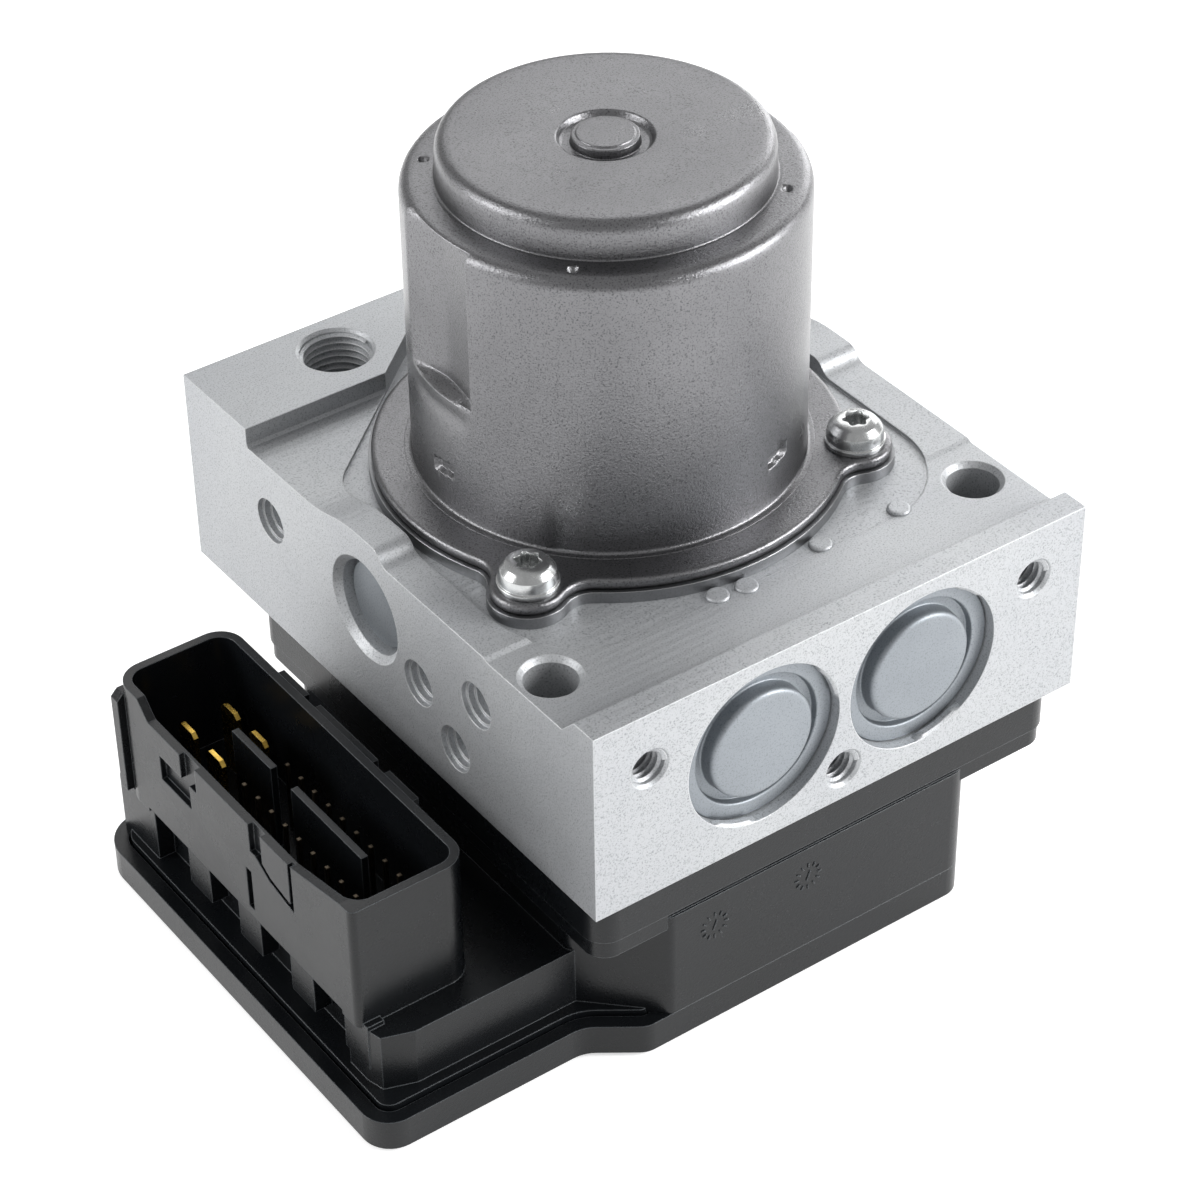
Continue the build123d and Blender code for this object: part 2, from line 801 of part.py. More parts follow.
    # Motor screws, motor lead, valve seats and housing screws
    with Locations(*[(x, y, pocket_z) for x, y in motor_screw_places]):
        Hole(motor_screw_radius + fit_gap, motor_screw_depth + screw_hole_allowance)
    with Locations((lead_place[0], lead_place[1], pocket_z)):
        Hole(lead_radius + lead_bore_gap)
    with BuildSketch(Plane.XY.offset(block_z)):
        with Locations(*inlet_places, *outlet_places):
            Circle(valve_radius + fit_gap)
    extrude(amount=valve_depth + valve_end_gap, mode=Mode.SUBTRACT)
    with BuildSketch(Plane.XY.offset(block_z)):
        with Locations(*housing_screw_places):
            Circle(housing_screw_radius + fit_gap)
    extrude(amount=housing_screw_depth + screw_hole_allowance, mode=Mode.SUBTRACT)
hydraulic_block.part.label = "hydraulic_block"
export_step(hydraulic_block.part, "parts/hydraulic_block.step")

# Staked ball plugs and domed plugs

with BuildPart() as face_plugs:
    ball_radius = face_plug_steps[-1][1] - ball_clearance
    ball_depth = face_plug_steps[-2][0] + ball_radius
    with Locations(*[(-block_left + ball_depth, y, block_z + rise) for y, rise in face_plug_places]):
        Sphere(ball_radius)
face_plugs.part.label = "face_plugs"
export_step(face_plugs.part, "parts/face_plugs.step")

with BuildPart() as dome_plugs:
    with BuildSketch(Plane.XY.offset(strip_z - dome_plug_depth + ball_clearance)):
        with Locations(*dome_plug_places):
            Circle(dome_plug_radius - ball_clearance)
    extrude(amount=dome_plug_depth + dome_plug_rise)
    fillet(
        dome_plugs.faces().filter_by(Axis.Z).group_by(Axis.Z)[-1].edges(),
        radius=dome_plug_rise,
    )
dome_plugs.part.label = "dome_plugs"
export_step(dome_plugs.part, "parts/dome_plugs.step")

# Low-pressure accumulators: pressed cap, spring, piston and its ring, one set each side

cap_y = -block_front + cap_recess
disc_y = -block_front + cap_disc_recess
cap_back_y = cap_y + cap_groove_depth + cap_sheet
bore_end_y = -block_front + accumulator_depth
piston_back_y = bore_end_y - piston_seat_gap
piston_front_y = piston_back_y - piston_length
piston_seat_y = piston_back_y - piston_floor
piston_radius = accumulator_radius - running_gap
ring_back_y = piston_back_y - (piston_floor - ring_width) / 2
for side, x in accumulator_places:
    bore_axis = Axis((x, 0, accumulator_z), (0, 1, 0))

    with BuildPart() as accumulator_cap:
        with BuildSketch(Plane.XY.offset(accumulator_z)):
            with BuildLine():
                rim = Polyline(
                    (x, disc_y + cap_sheet),
                    (x + cap_disc_radius - cap_sheet, disc_y + cap_sheet),
                    (x + cap_disc_radius - cap_sheet, cap_back_y),
                    (x + cap_cup_radius - fit_gap, cap_back_y),
                    (x + cap_cup_radius - fit_gap, cap_y + cap_sheet),
                    (x + cap_radius, cap_y + cap_sheet),
                    (x + cap_radius, cap_y),
                    (x + cap_groove_radius, cap_y),
                    (x + cap_groove_radius, cap_y + cap_groove_depth),
                    (x + cap_disc_radius, cap_y + cap_groove_depth),
                    (x + cap_disc_radius, disc_y + cap_disc_round),
                )
                RadiusArc(rim @ 1, (x + cap_disc_radius - cap_disc_round, disc_y), cap_disc_round)
                Polyline(
                    (x + cap_disc_radius - cap_disc_round, disc_y),
                    (x, disc_y),
                    (x, disc_y + cap_sheet),
                )
            make_face()
        revolve(axis=bore_axis)
    accumulator_cap.part.label = f"accumulator_cap_{side}"
    export_step(accumulator_cap.part, f"parts/accumulator_cap_{side}.step")

    with BuildPart() as accumulator_piston:
        with BuildSketch(Plane.XY.offset(accumulator_z)):
            with BuildLine():
                Polyline(
                    (x, piston_back_y),
                    (x + piston_radius, piston_back_y),
                    (x + piston_radius, ring_back_y),
                    (x + piston_radius - ring_depth, ring_back_y),
                    (x + piston_radius - ring_depth, ring_back_y - ring_width),
                    (x + piston_radius, ring_back_y - ring_width),
                    (x + piston_radius, piston_front_y),
                    (x + piston_radius - piston_wall, piston_front_y),
                    (x + piston_radius - piston_wall, piston_seat_y),
                    (x, piston_seat_y),
                    close=True,
                )
            make_face()
        revolve(axis=bore_axis)
    accumulator_piston.part.label = f"accumulator_piston_{side}"
    export_step(accumulator_piston.part, f"parts/accumulator_piston_{side}.step")

    with BuildPart() as accumulator_ring:
        with BuildSketch(Plane.XZ.offset(-ring_back_y + fit_gap)):
            with Locations((x, accumulator_z)):
                Circle(accumulator_radius - fit_gap)
                Circle(piston_radius - ring_depth + fit_gap, mode=Mode.SUBTRACT)
        extrude(amount=ring_width - 2 * fit_gap)
    accumulator_ring.part.label = f"accumulator_ring_{side}"
    export_step(accumulator_ring.part, f"parts/accumulator_ring_{side}.step")

    with BuildPart() as accumulator_spring:
        spring_length = piston_seat_y - disc_y - cap_sheet - accumulator_wire
        with BuildLine() as accumulator_coil:
            Helix(
                pitch=spring_length / accumulator_coils,
                height=spring_length,
                radius=accumulator_spring_radius,
                center=(x, piston_seat_y - accumulator_wire / 2, accumulator_z),
                direction=(0, -1, 0),
            )
        with BuildSketch(Plane(origin=accumulator_coil.line @ 0, z_dir=accumulator_coil.line % 0)):
            Circle(accumulator_wire / 2)
        sweep(is_frenet=True)
    accumulator_spring.part.label = f"accumulator_spring_{side}"
    export_step(accumulator_spring.part, f"parts/accumulator_spring_{side}.step")

# Pumps: plug, sleeve, piston and return spring, one set each side of the cam

plug_face_x = block_left - pump_plug_recess
plug_back_x = plug_face_x - pump_plug_length
piston_tip_x = cam_ring_radius + cam_throw + cam_clearance
piston_end_x = piston_tip_x + pump_piston_length
chamber_x = piston_end_x - pump_collar_width - piston_seat_gap
for side, sign in (("left", -1), ("right", 1)):
    pump_axis = Axis((0, pump_offset, pump_z), (1, 0, 0))

    with BuildPart() as pump_plug:
        with BuildSketch(Plane.YZ.offset(sign * plug_back_x)):
            with Locations((pump_offset, pump_z)):
                Circle(pump_bore_radius - fit_gap)
        extrude(amount=sign * pump_plug_length)
        chamfer(pump_plug.faces().sort_by(Axis.X)[0 if sign < 0 else -1].edges(), length=cover_chamfer)
    pump_plug.part.label = f"pump_plug_{side}"
    export_step(pump_plug.part, f"parts/pump_plug_{side}.step")

    with BuildPart() as pump_sleeve:
        with BuildSketch(Plane.XY.offset(pump_z)):
            with BuildLine():
                Polyline(
                    (sign * pump_step, pump_offset + pump_piston_radius + running_gap),
                    (sign * pump_step, pump_offset + pump_bore_radius - fit_gap),
                    (sign * plug_back_x, pump_offset + pump_bore_radius - fit_gap),
                    (sign * plug_back_x, pump_offset + pump_chamber_radius),
                    (sign * chamber_x, pump_offset + pump_chamber_radius),
                    (sign * chamber_x, pump_offset + pump_piston_radius + running_gap),
                    close=True,
                )
            make_face()
        revolve(axis=pump_axis)
    pump_sleeve.part.label = f"pump_sleeve_{side}"
    export_step(pump_sleeve.part, f"parts/pump_sleeve_{side}.step")

    with BuildPart() as pump_piston:
        with BuildSketch(Plane.XY.offset(pump_z)):
            with BuildLine():
                Polyline(
                    (sign * piston_tip_x, pump_offset),
                    (sign * piston_tip_x, pump_offset + pump_piston_radius - cover_chamfer),
                    (sign * (piston_tip_x + cover_chamfer), pump_offset + pump_piston_radius),
                    (sign * (piston_end_x - pump_collar_width), pump_offset + pump_piston_radius),
                    (sign * (piston_end_x - pump_collar_width), pump_offset + pump_collar_radius),
                    (sign * piston_end_x, pump_offset + pump_collar_radius),
                    (sign * piston_end_x, pump_offset),
                    close=True,
                )
            make_face()
        revolve(axis=pump_axis)
    pump_piston.part.label = f"pump_piston_{side}"
    export_step(pump_piston.part, f"parts/pump_piston_{side}.step")

    with BuildPart() as pump_spring:
        spring_length = plug_back_x - piston_end_x - pump_wire
        with BuildLine() as pump_coil:
            Helix(
                pitch=spring_length / pump_coils,
                height=spring_length,
                radius=pump_spring_radius,
                center=(sign * (piston_end_x + pump_wire / 2), pump_offset, pump_z),
                direction=(sign, 0, 0),
            )
        with BuildSketch(Plane(origin=pump_coil.line @ 0, z_dir=pump_coil.line % 0)):
            Circle(pump_wire / 2)
        sweep(is_frenet=True)
    pump_spring.part.label = f"pump_spring_{side}"
    export_step(pump_spring.part, f"parts/pump_spring_{side}.step")

# Motor shaft with its eccentric, and the cam ring that turns on the eccentric

cam_bottom_z = pump_z - cam_ring_width / 2
neck_z = dome_z - boss_groove - can_wall - rear_bearing_drop - rear_bearing_length
shaft_top_z = neck_z + rear_bearing_length

with BuildPart() as motor_shaft:
    with BuildSketch(Plane.XZ):
        with BuildLine():
            Polyline(
                (0, cam_bottom_z - shaft_end),
                (shaft_tip_radius, cam_bottom_z - shaft_end),
                (shaft_tip_radius, cam_bottom_z),
                (shaft_radius, cam_bottom_z),
                (shaft_radius, neck_z - shaft_neck),
                (shaft_tip_radius, neck_z - shaft_neck),
                (shaft_tip_radius, shaft_top_z),
                (0, shaft_top_z),
                close=True,
            )
        make_face()
    revolve(axis=Axis.Z)
    with BuildSketch(Plane.XY.offset(cam_bottom_z)):
        with Locations((0, cam_throw)):
            Circle(cam_radius)
    extrude(amount=cam_ring_width)
motor_shaft.part.label = "motor_shaft"
export_step(motor_shaft.part, "parts/motor_shaft.step")

with BuildPart() as cam_ring:
    with BuildSketch(Plane.XY.offset(cam_bottom_z)):
        with Locations((0, cam_throw)):
            Circle(cam_ring_radius)
            Circle(cam_radius + running_gap, mode=Mode.SUBTRACT)
    extrude(amount=cam_ring_width)
cam_ring.part.label = "cam_ring"
export_step(cam_ring.part, "parts/cam_ring.step")

# Motor: end plate with hub and bearing, can, magnets, brushes and armature

bearing_z = hub_z + hub_lip
motor_outlines = []
for grow in (0, end_plate_lip):
    with BuildSketch() as motor_outline:
        Circle(flange_radius + grow)
        with Locations(*motor_screw_places):
            Circle(ear_radius + grow)
        ear_corners = [
            corner
            for corner in motor_outline.vertices()
            if Vector(corner).length < flange_radius + grow + fit_gap
            and min((Vector(corner) - Vector(*place)).length for place in motor_screw_places)
            < ear_radius + grow + fit_gap
        ]
        fillet(ear_corners, radius=ear_blend - grow)
    motor_outlines.append(motor_outline.sketch)
flange_outline, plate_outline = motor_outlines

with BuildPart() as end_plate:
    with BuildSketch(Plane.XY.offset(pocket_z)):
        add(plate_outline)
        Circle(bearing_radius, mode=Mode.SUBTRACT)
        with Locations(*motor_screw_places):
            Circle(motor_screw_radius + fit_gap, mode=Mode.SUBTRACT)
        with Locations(lead_place):
            Circle(lead_radius + lead_bore_gap, mode=Mode.SUBTRACT)
    extrude(amount=end_plate_thickness)
    with BuildSketch(Plane.XY.offset(bearing_z)):
        Circle(hub_radius)
        Circle(bearing_radius, mode=Mode.SUBTRACT)
    extrude(amount=pocket_z - bearing_z)
    with BuildSketch(Plane.XY.offset(hub_z)):
        Circle(hub_radius)
        Circle(bearing_radius - hub_lip_width, mode=Mode.SUBTRACT)
    extrude(amount=hub_lip)
end_plate.part.label = "end_plate"
export_step(end_plate.part, "parts/end_plate.step")

with BuildPart() as motor_seal:
    with BuildSketch(Plane.XY.offset(pocket_z - seal_height)):
        Circle(hub_radius + seal_width)
        Circle(hub_radius + fit_gap, mode=Mode.SUBTRACT)
    extrude(amount=seal_height)
motor_seal.part.label = "motor_seal"
export_step(motor_seal.part, "parts/motor_seal.step")

with BuildPart() as front_bearing:
    with BuildSketch(Plane.XY.offset(bearing_z)):
        Circle(bearing_radius - fit_gap)
        Circle(shaft_radius + fit_gap, mode=Mode.SUBTRACT)
    extrude(amount=bearing_width)
front_bearing.part.label = "front_bearing"
export_step(front_bearing.part, "parts/front_bearing.step")

with BuildPart() as rear_bearing:
    with BuildSketch(Plane.XY.offset(neck_z)):
        Circle(rear_bearing_radius - fit_gap)
        Circle(shaft_tip_radius + fit_gap, mode=Mode.SUBTRACT)
    extrude(amount=rear_bearing_length)
rear_bearing.part.label = "rear_bearing"
export_step(rear_bearing.part, "parts/rear_bearing.step")

with BuildPart() as motor_can:
    with BuildSketch(Plane.XY.offset(plate_z)):
        add(flange_outline)
    extrude(amount=flange_thickness)
    with BuildSketch(Plane.XZ):
        with BuildLine():
            skin = FilletPolyline(
                (can_radius + 2 * can_foot_radius, flange_z),
                (can_radius, flange_z),
                (can_radius, shoulder_z),
                (dome_radius, shoulder_z),
                (dome_radius, dome_edge_z),
                (boss_radius + boss_ring, dome_z),
                radius=(can_foot_radius, shoulder_radius, can_wall, dome_round),
            )
            Polyline(
                skin @ 1,
                (boss_radius + boss_ring, dome_z - boss_groove),
                (boss_radius, dome_z - boss_groove),
                (boss_radius, dome_z + boss_rise),
                (boss_radius - boss_land, dome_z + boss_rise),
                (boss_radius - boss_land, dome_z + 2 * boss_rise),
                (0, dome_z + 2 * boss_rise),
                (0, plate_z),
                (can_radius + 2 * can_foot_radius, plate_z),
                skin @ 0,
            )
        make_face()
    revolve(axis=Axis.Z)
    with BuildSketch(Plane.XZ):
        with BuildLine():
            Polyline(
                (0, plate_z),
                (can_inner, plate_z),
                (can_inner, shoulder_z - can_wall),
                (dome_radius - can_wall, shoulder_z - can_wall),
                (dome_radius - can_wall, dome_edge_z - can_wall),
                (rear_bearing_radius + rear_bearing_wall, dome_z - boss_groove - can_wall),
                (rear_bearing_radius + rear_bearing_wall, neck_z),
                (rear_bearing_radius, neck_z),
                (rear_bearing_radius, shaft_top_z + rear_bearing_drop),
                (0, shaft_top_z + rear_bearing_drop),
                close=True,
            )
        make_face()
    revolve(axis=Axis.Z, mode=Mode.SUBTRACT)

    # Pressed flats on both sides, each backed inside by the same sheet
    press_x = can_radius - press_depth
    with BuildSketch(Plane.XY.offset(flange_z + press_bottom)):
        with Locations((press_x - can_wall / 2, 0), (-press_x + can_wall / 2, 0)):
            Rectangle(can_wall, press_width)
    extrude(amount=shoulder_z - press_top - flange_z - press_bottom)
    with BuildSketch(Plane.XY.offset(flange_z + press_bottom)):
        with Locations((press_x + press_depth, 0), (-press_x - press_depth, 0)):
            Rectangle(2 * press_depth, press_width)
    extrude(amount=shoulder_z - press_top - flange_z - press_bottom, mode=Mode.SUBTRACT)
    for angle in lance_angles:
        lance_x = can_radius * cos(radians(angle))
        lance_y = can_radius * sin(radians(angle))
        lance_z = flange_z + lance_rise + lance_height / 2
        with Locations(Location((lance_x, lance_y, lance_z), (0, 0, angle))):
            Box(2 * lance_depth, lance_width, lance_height, mode=Mode.SUBTRACT)
    with Locations(*[(x, y, flange_z) for x, y in motor_screw_places]):
        Hole(motor_screw_radius + fit_gap, flange_thickness)
motor_can.part.label = "motor_can"
export_step(motor_can.part, "parts/motor_can.step")

armature_z = plate_z + armature_rise
armature_radius = can_inner - magnet_gap - magnet_thickness - air_gap
magnet_outer = can_inner - magnet_gap
for side, sign in (("front", -1), ("back", 1)):
    with BuildPart() as magnet:
        with BuildSketch(Plane.XY.offset(armature_z + (armature_length - magnet_length) / 2)):
            with BuildLine():
                outer_arc = CenterArc((0, 0), magnet_outer, sign * (90 - magnet_arc / 2), sign * magnet_arc)
                inner_arc = CenterArc(
                    (0, 0),
                    magnet_outer - magnet_thickness,
                    sign * (90 - magnet_arc / 2),
                    sign * magnet_arc,
                )
                Line(outer_arc @ 0, inner_arc @ 0)
                Line(outer_arc @ 1, inner_arc @ 1)
            make_face()
        extrude(amount=magnet_length)
    magnet.part.label = f"magnet_{side}"
    export_step(magnet.part, f"parts/magnet_{side}.step")

with BuildPart() as armature_core:
    with BuildSketch(Plane.XY.offset(armature_z)):
        Circle(armature_radius)
        Circle(shaft_radius + fit_gap, mode=Mode.SUBTRACT)
        with PolarLocations(armature_radius, slot_count):
            Rectangle(2 * slot_depth, slot_width, mode=Mode.SUBTRACT)
    extrude(amount=armature_length)
armature_core.part.label = "armature_core"
export_step(armature_core.part, "parts/armature_core.step")

with BuildPart() as armature_winding:
    winding_outer = armature_radius - winding_drop
    bar_depth = slot_depth - winding_drop - 2 * fit_gap
    for ring_z in (armature_z - winding_overhang, armature_z + armature_length):
        with BuildSketch(Plane.XY.offset(ring_z)):
            Circle(winding_outer)
            Circle(winding_bore, mode=Mode.SUBTRACT)
        extrude(amount=winding_overhang)
    with BuildSketch(Plane.XY.offset(armature_z)):
        with PolarLocations(winding_outer - bar_depth / 2, slot_count):
            Rectangle(bar_depth, slot_width - 2 * fit_gap)
    extrude(amount=armature_length)
armature_winding.part.label = "armature_winding"
export_step(armature_winding.part, "parts/armature_winding.step")

with BuildPart() as commutator:
    with BuildSketch(Plane.XY.offset(plate_z + commutator_rise)):
        Circle(commutator_radius)
        Circle(shaft_radius + fit_gap, mode=Mode.SUBTRACT)
        with PolarLocations(commutator_radius, segment_count):
            Rectangle(2 * slit_depth, slit_width, mode=Mode.SUBTRACT)
    extrude(amount=commutator_length)
commutator.part.label = "commutator"
export_step(commutator.part, "parts/commutator.step")

brush_box_z = plate_z + brush_plate_thickness
brush_wall = (brush_box_width - brush_width) / 2
brush_start = commutator_radius + fit_gap
with BuildPart() as brush_plate:
    with BuildSketch(Plane.XY.offset(plate_z)):
        Circle(can_inner - lead_bore_gap)
        Circle(bearing_radius + fit_gap, mode=Mode.SUBTRACT)
        with Locations(*lead_points):
            Rectangle(blade_thickness, lead_pin_width, mode=Mode.SUBTRACT)
    extrude(amount=brush_plate_thickness)
    with BuildSketch(Plane.XY.offset(brush_box_z)):
        for sign in (-1, 1):
            with Locations((sign * (brush_start + brush_length / 2 + 2 * brush_wall), 0)):
                Rectangle(brush_length, brush_box_width)
    extrude(amount=brush_box_height)
    with BuildSketch(Plane.XY.offset(brush_box_z)):
        for sign in (-1, 1):
            with Locations((sign * (brush_start + brush_length / 2), 0)):
                Rectangle(brush_length + fit_gap, brush_width + fit_gap)
    extrude(amount=brush_height + fit_gap, mode=Mode.SUBTRACT)
brush_plate.part.label = "brush_plate"
export_step(brush_plate.part, "parts/brush_plate.step")

for side, sign in (("left", -1), ("right", 1)):
    with BuildPart() as brush:
        with BuildSketch(Plane.XY.offset(brush_box_z)):
            with Locations((sign * (brush_start - brush_wrap + brush_length / 2), 0)):
                Rectangle(brush_length, brush_width)
            Circle(brush_start, mode=Mode.SUBTRACT)
        extrude(amount=brush_height)
    brush.part.label = f"brush_{side}"
    export_step(brush.part, f"parts/brush_{side}.step")

# Screws of the motor flange and of the housing

with BuildPart() as motor_screws:
    head_z = flange_z + screw_washer_height
    with BuildSketch(Plane.XY.offset(pocket_z - motor_screw_depth)):
        with Locations(*motor_screw_places):
            Circle(motor_screw_radius)
    extrude(amount=flange_z - pocket_z + motor_screw_depth)
    with BuildSketch(Plane.XY.offset(flange_z)):
        with Locations(*motor_screw_places):
            Circle(screw_washer_radius)
    extrude(amount=screw_washer_height)
    with BuildSketch(Plane.XY.offset(head_z)):
        with Locations(*motor_screw_places):
            Circle(button_head_radius)
    extrude(amount=screw_head_height)
    fillet(
        motor_screws.faces().filter_by(Axis.Z).group_by(Axis.Z)[-1].edges(),
        radius=screw_head_round,
    )
motor_screws.part.label = "motor_screws"
export_step(motor_screws.part, "parts/motor_screws.step")

with BuildPart() as housing_screws:
    with BuildSketch(Plane.XY.offset(collar_z)):
        with Locations(*housing_screw_places):
            Circle(housing_screw_radius)
    extrude(amount=collar_height + housing_screw_depth)
    with BuildSketch(Plane.XY.offset(collar_z)):
        with Locations(*housing_screw_places):
            Circle(screw_head_radius)
    extrude(amount=-screw_head_height)
    fillet(
        housing_screws.faces().filter_by(Axis.Z).group_by(Axis.Z)[0].edges(),
        radius=screw_head_round,
    )
housing_screws.part.label = "housing_screws"
export_step(housing_screws.part, "parts/housing_screws.step")

# Motor lead through the block: insulating sleeve and two pins down to the board

lead_foot_z = block_z - housing_screw_depth
with BuildPart() as lead_sleeve:
    with BuildSketch(Plane.XY.offset(lead_foot_z)):
        with Locations(lead_place):
            Circle(lead_radius)
        with Locations(*lead_points):
            Rectangle(blade_thickness, lead_pin_width, mode=Mode.SUBTRACT)
    extrude(amount=plate_z - lead_foot_z)
lead_sleeve.part.label = "lead_sleeve"
export_step(lead_sleeve.part, "parts/lead_sleeve.step")

with BuildPart() as lead_pins:
    with BuildSketch(Plane.XY.offset(terminal_foot_z)):
        with Locations(*lead_points):
            Rectangle(blade_thickness, lead_pin_width)
    extrude(amount=brush_box_z - terminal_foot_z)
lead_pins.part.label = "lead_pins"
export_step(lead_pins.part, "parts/lead_pins.step")

# Solenoid valves: turned body in the block, dome tube below it, sliding armature inside

core_z = block_z - core_length
cavity_radius = dome_tube_radius - dome_tube_wall
for kind, row, tube_length in (
    ("inlet", inlet_places, inlet_tube_length),
    ("outlet", outlet_places, outlet_tube_length),
):
    cavity_z = block_z - tube_length + 2 * dome_tube_wall
    with BuildPart() as valves:
        with BuildSketch(Plane.XY.offset(block_z)):
            with Locations(*row):
                Circle(valve_radius)
        extrude(amount=valve_depth)
        with BuildSketch(Plane.XY.offset(block_z - tube_length)):
            with Locations(*row):
                Circle(dome_tube_radius)
        extrude(amount=tube_length)
        with BuildSketch(Plane.XY.offset(cavity_z)):
            with Locations(*row):
                Circle(cavity_radius)
        extrude(amount=core_z - cavity_z, mode=Mode.SUBTRACT)
        with BuildSketch(Plane.XY.offset(core_z)):
            with Locations(*row):
                Circle(orifice_radius)
        extrude(amount=core_length + valve_depth, mode=Mode.SUBTRACT)
    valves.part.label = f"{kind}_valves"
    export_step(valves.part, f"parts/{kind}_valves.step")

    for number, place in enumerate(row, start=1):
        armature_foot_z = cavity_z + valve_end_gap
        with BuildPart() as valve_armature:
            with BuildSketch(Plane.XY.offset(armature_foot_z)):
                with Locations(place):
                    Circle(cavity_radius - running_gap)
            extrude(amount=core_z - armature_travel - fit_gap - armature_foot_z)
        valve_armature.part.label = f"{kind}_armature_{number}"
        export_step(valve_armature.part, f"parts/{kind}_armature_{number}.step")

with BuildPart() as valve_coils:
    coil_top_z = block_z - coil_top_gap
    coil_foot_z = coil_top_z - coil_height
    with BuildSketch(Plane.XY.offset(coil_foot_z)):
        with Locations(*inlet_places, *outlet_places):
            Circle(coil_radius)
    extrude(amount=coil_height)
    for flange_foot_z in (coil_foot_z, coil_top_z - bobbin_flange):
        with BuildSketch(Plane.XY.offset(flange_foot_z)):
            with Locations(*inlet_places, *outlet_places):
                Circle(bobbin_radius)
        extrude(amount=bobbin_flange)
    with BuildSketch(Plane.XY.offset(coil_foot_z)):
        with Locations(*inlet_places, *outlet_places):
            Circle(dome_tube_radius + coil_bore_gap)
    extrude(amount=coil_height, mode=Mode.SUBTRACT)
    with BuildSketch(Plane.XY.offset(board_top_z)):
        with Locations(*inlet_places, *outlet_places):
            with GridLocations(coil_pin_pitch, 1, 2, 1):
                Rectangle(coil_pin_width, coil_pin_width)
    extrude(amount=coil_foot_z - board_top_z)
valve_coils.part.label = "valve_coils"
export_step(valve_coils.part, "parts/valve_coils.step")
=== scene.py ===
"""Looks of an anti-lock brake module: block, motor, electronics housing and their finishes."""

import json
import logging
import math
from dataclasses import dataclass, field
from enum import Enum

import bmesh
import bpy
from bpy.types import Material, Mesh, Node, NodeSocket, NodeTree, Object
from mathutils import Matrix, Vector

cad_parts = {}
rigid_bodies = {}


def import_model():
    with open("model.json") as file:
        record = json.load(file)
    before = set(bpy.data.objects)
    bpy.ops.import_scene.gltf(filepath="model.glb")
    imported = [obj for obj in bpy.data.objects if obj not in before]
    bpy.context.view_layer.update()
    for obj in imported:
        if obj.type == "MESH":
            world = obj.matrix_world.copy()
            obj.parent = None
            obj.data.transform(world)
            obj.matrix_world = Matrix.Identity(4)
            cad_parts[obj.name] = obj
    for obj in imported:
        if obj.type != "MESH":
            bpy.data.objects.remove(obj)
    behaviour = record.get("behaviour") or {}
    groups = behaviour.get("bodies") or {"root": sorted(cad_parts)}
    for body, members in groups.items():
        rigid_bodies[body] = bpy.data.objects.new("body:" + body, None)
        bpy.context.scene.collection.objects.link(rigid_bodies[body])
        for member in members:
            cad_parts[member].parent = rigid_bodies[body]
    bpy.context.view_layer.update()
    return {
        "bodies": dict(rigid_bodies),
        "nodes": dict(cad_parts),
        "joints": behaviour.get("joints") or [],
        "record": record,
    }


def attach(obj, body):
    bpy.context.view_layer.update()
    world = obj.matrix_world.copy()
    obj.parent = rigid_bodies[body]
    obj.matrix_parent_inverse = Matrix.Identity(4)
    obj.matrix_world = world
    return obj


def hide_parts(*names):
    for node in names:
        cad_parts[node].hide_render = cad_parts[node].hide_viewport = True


LOG = logging.getLogger("brake_module")
MM = 0.001
ROOT_BODY = "module"
# A rounding takes no more than this share of the side on each hand of its corner
SIDE_SHARE = 0.49
# Points nearer than this are one point, and edges shorter than this are none
MERGED_MM = 0.002
VANISHING_MM = 0.0005
# A Wave texture of scale 1 repeats after this length
WAVE_LENGTH = 0.314
# Heights of wound or stacked bands and of cutter lines, against that of the grain
BAND_RELIEF = 4.0
CUTTER_RELIEF = 0.35
# A face whose normal rises above this was milled from above
LEVEL_NORMAL = 0.98
# How much finer specks are than the grain, and patches of gloss than the clouds of colour
SPECK_FINENESS = 1.6
GLOSS_FINENESS = 1.7

Pair = tuple[float, float]
Point = tuple[float, float, float]


class Pattern(Enum):
    """What shows in the surface of a finish besides its grain."""

    PLAIN = "plain"
    WOUND = "wound"
    STACKED = "stacked"


def linear(hex_code: str) -> tuple[float, float, float, float]:
    """Turns an sRGB hex value into a linear colour.

    Args:
        hex_code: Six hex digits, such as "8a8a8c".

    Returns:
        Linear red, green, blue and an alpha of 1.
    """
    values = [int(hex_code[i : i + 2], 16) / 255 for i in (0, 2, 4)]
    red, green, blue = (v / 12.92 if v <= 0.04045 else ((v + 0.055) / 1.055) ** 2.4 for v in values)
    return (red, green, blue, 1.0)


def add_node(
    tree: NodeTree, kind: str, inputs: dict[str | int, object] | None = None, **settings: object
) -> Node:
    """Adds a node with its settings, socket values and links.

    Args:
        tree: The node tree that takes the node.
        kind: Blender's type name of the node.
        inputs: What each input gets, by its name or number: a value, an output socket, or a
            node for its first output.
        settings: Attributes of the node.

    Returns:
        The new node.
    """
    node = tree.nodes.new(kind)
    for key, value in settings.items():
        setattr(node, key, value)
    for key, value in (inputs or {}).items():
        source = value.outputs[0] if isinstance(value, Node) else value
        if isinstance(source, NodeSocket):
            tree.links.new(source, node.inputs[key])
        else:
            node.inputs[key].default_value = source
    return node


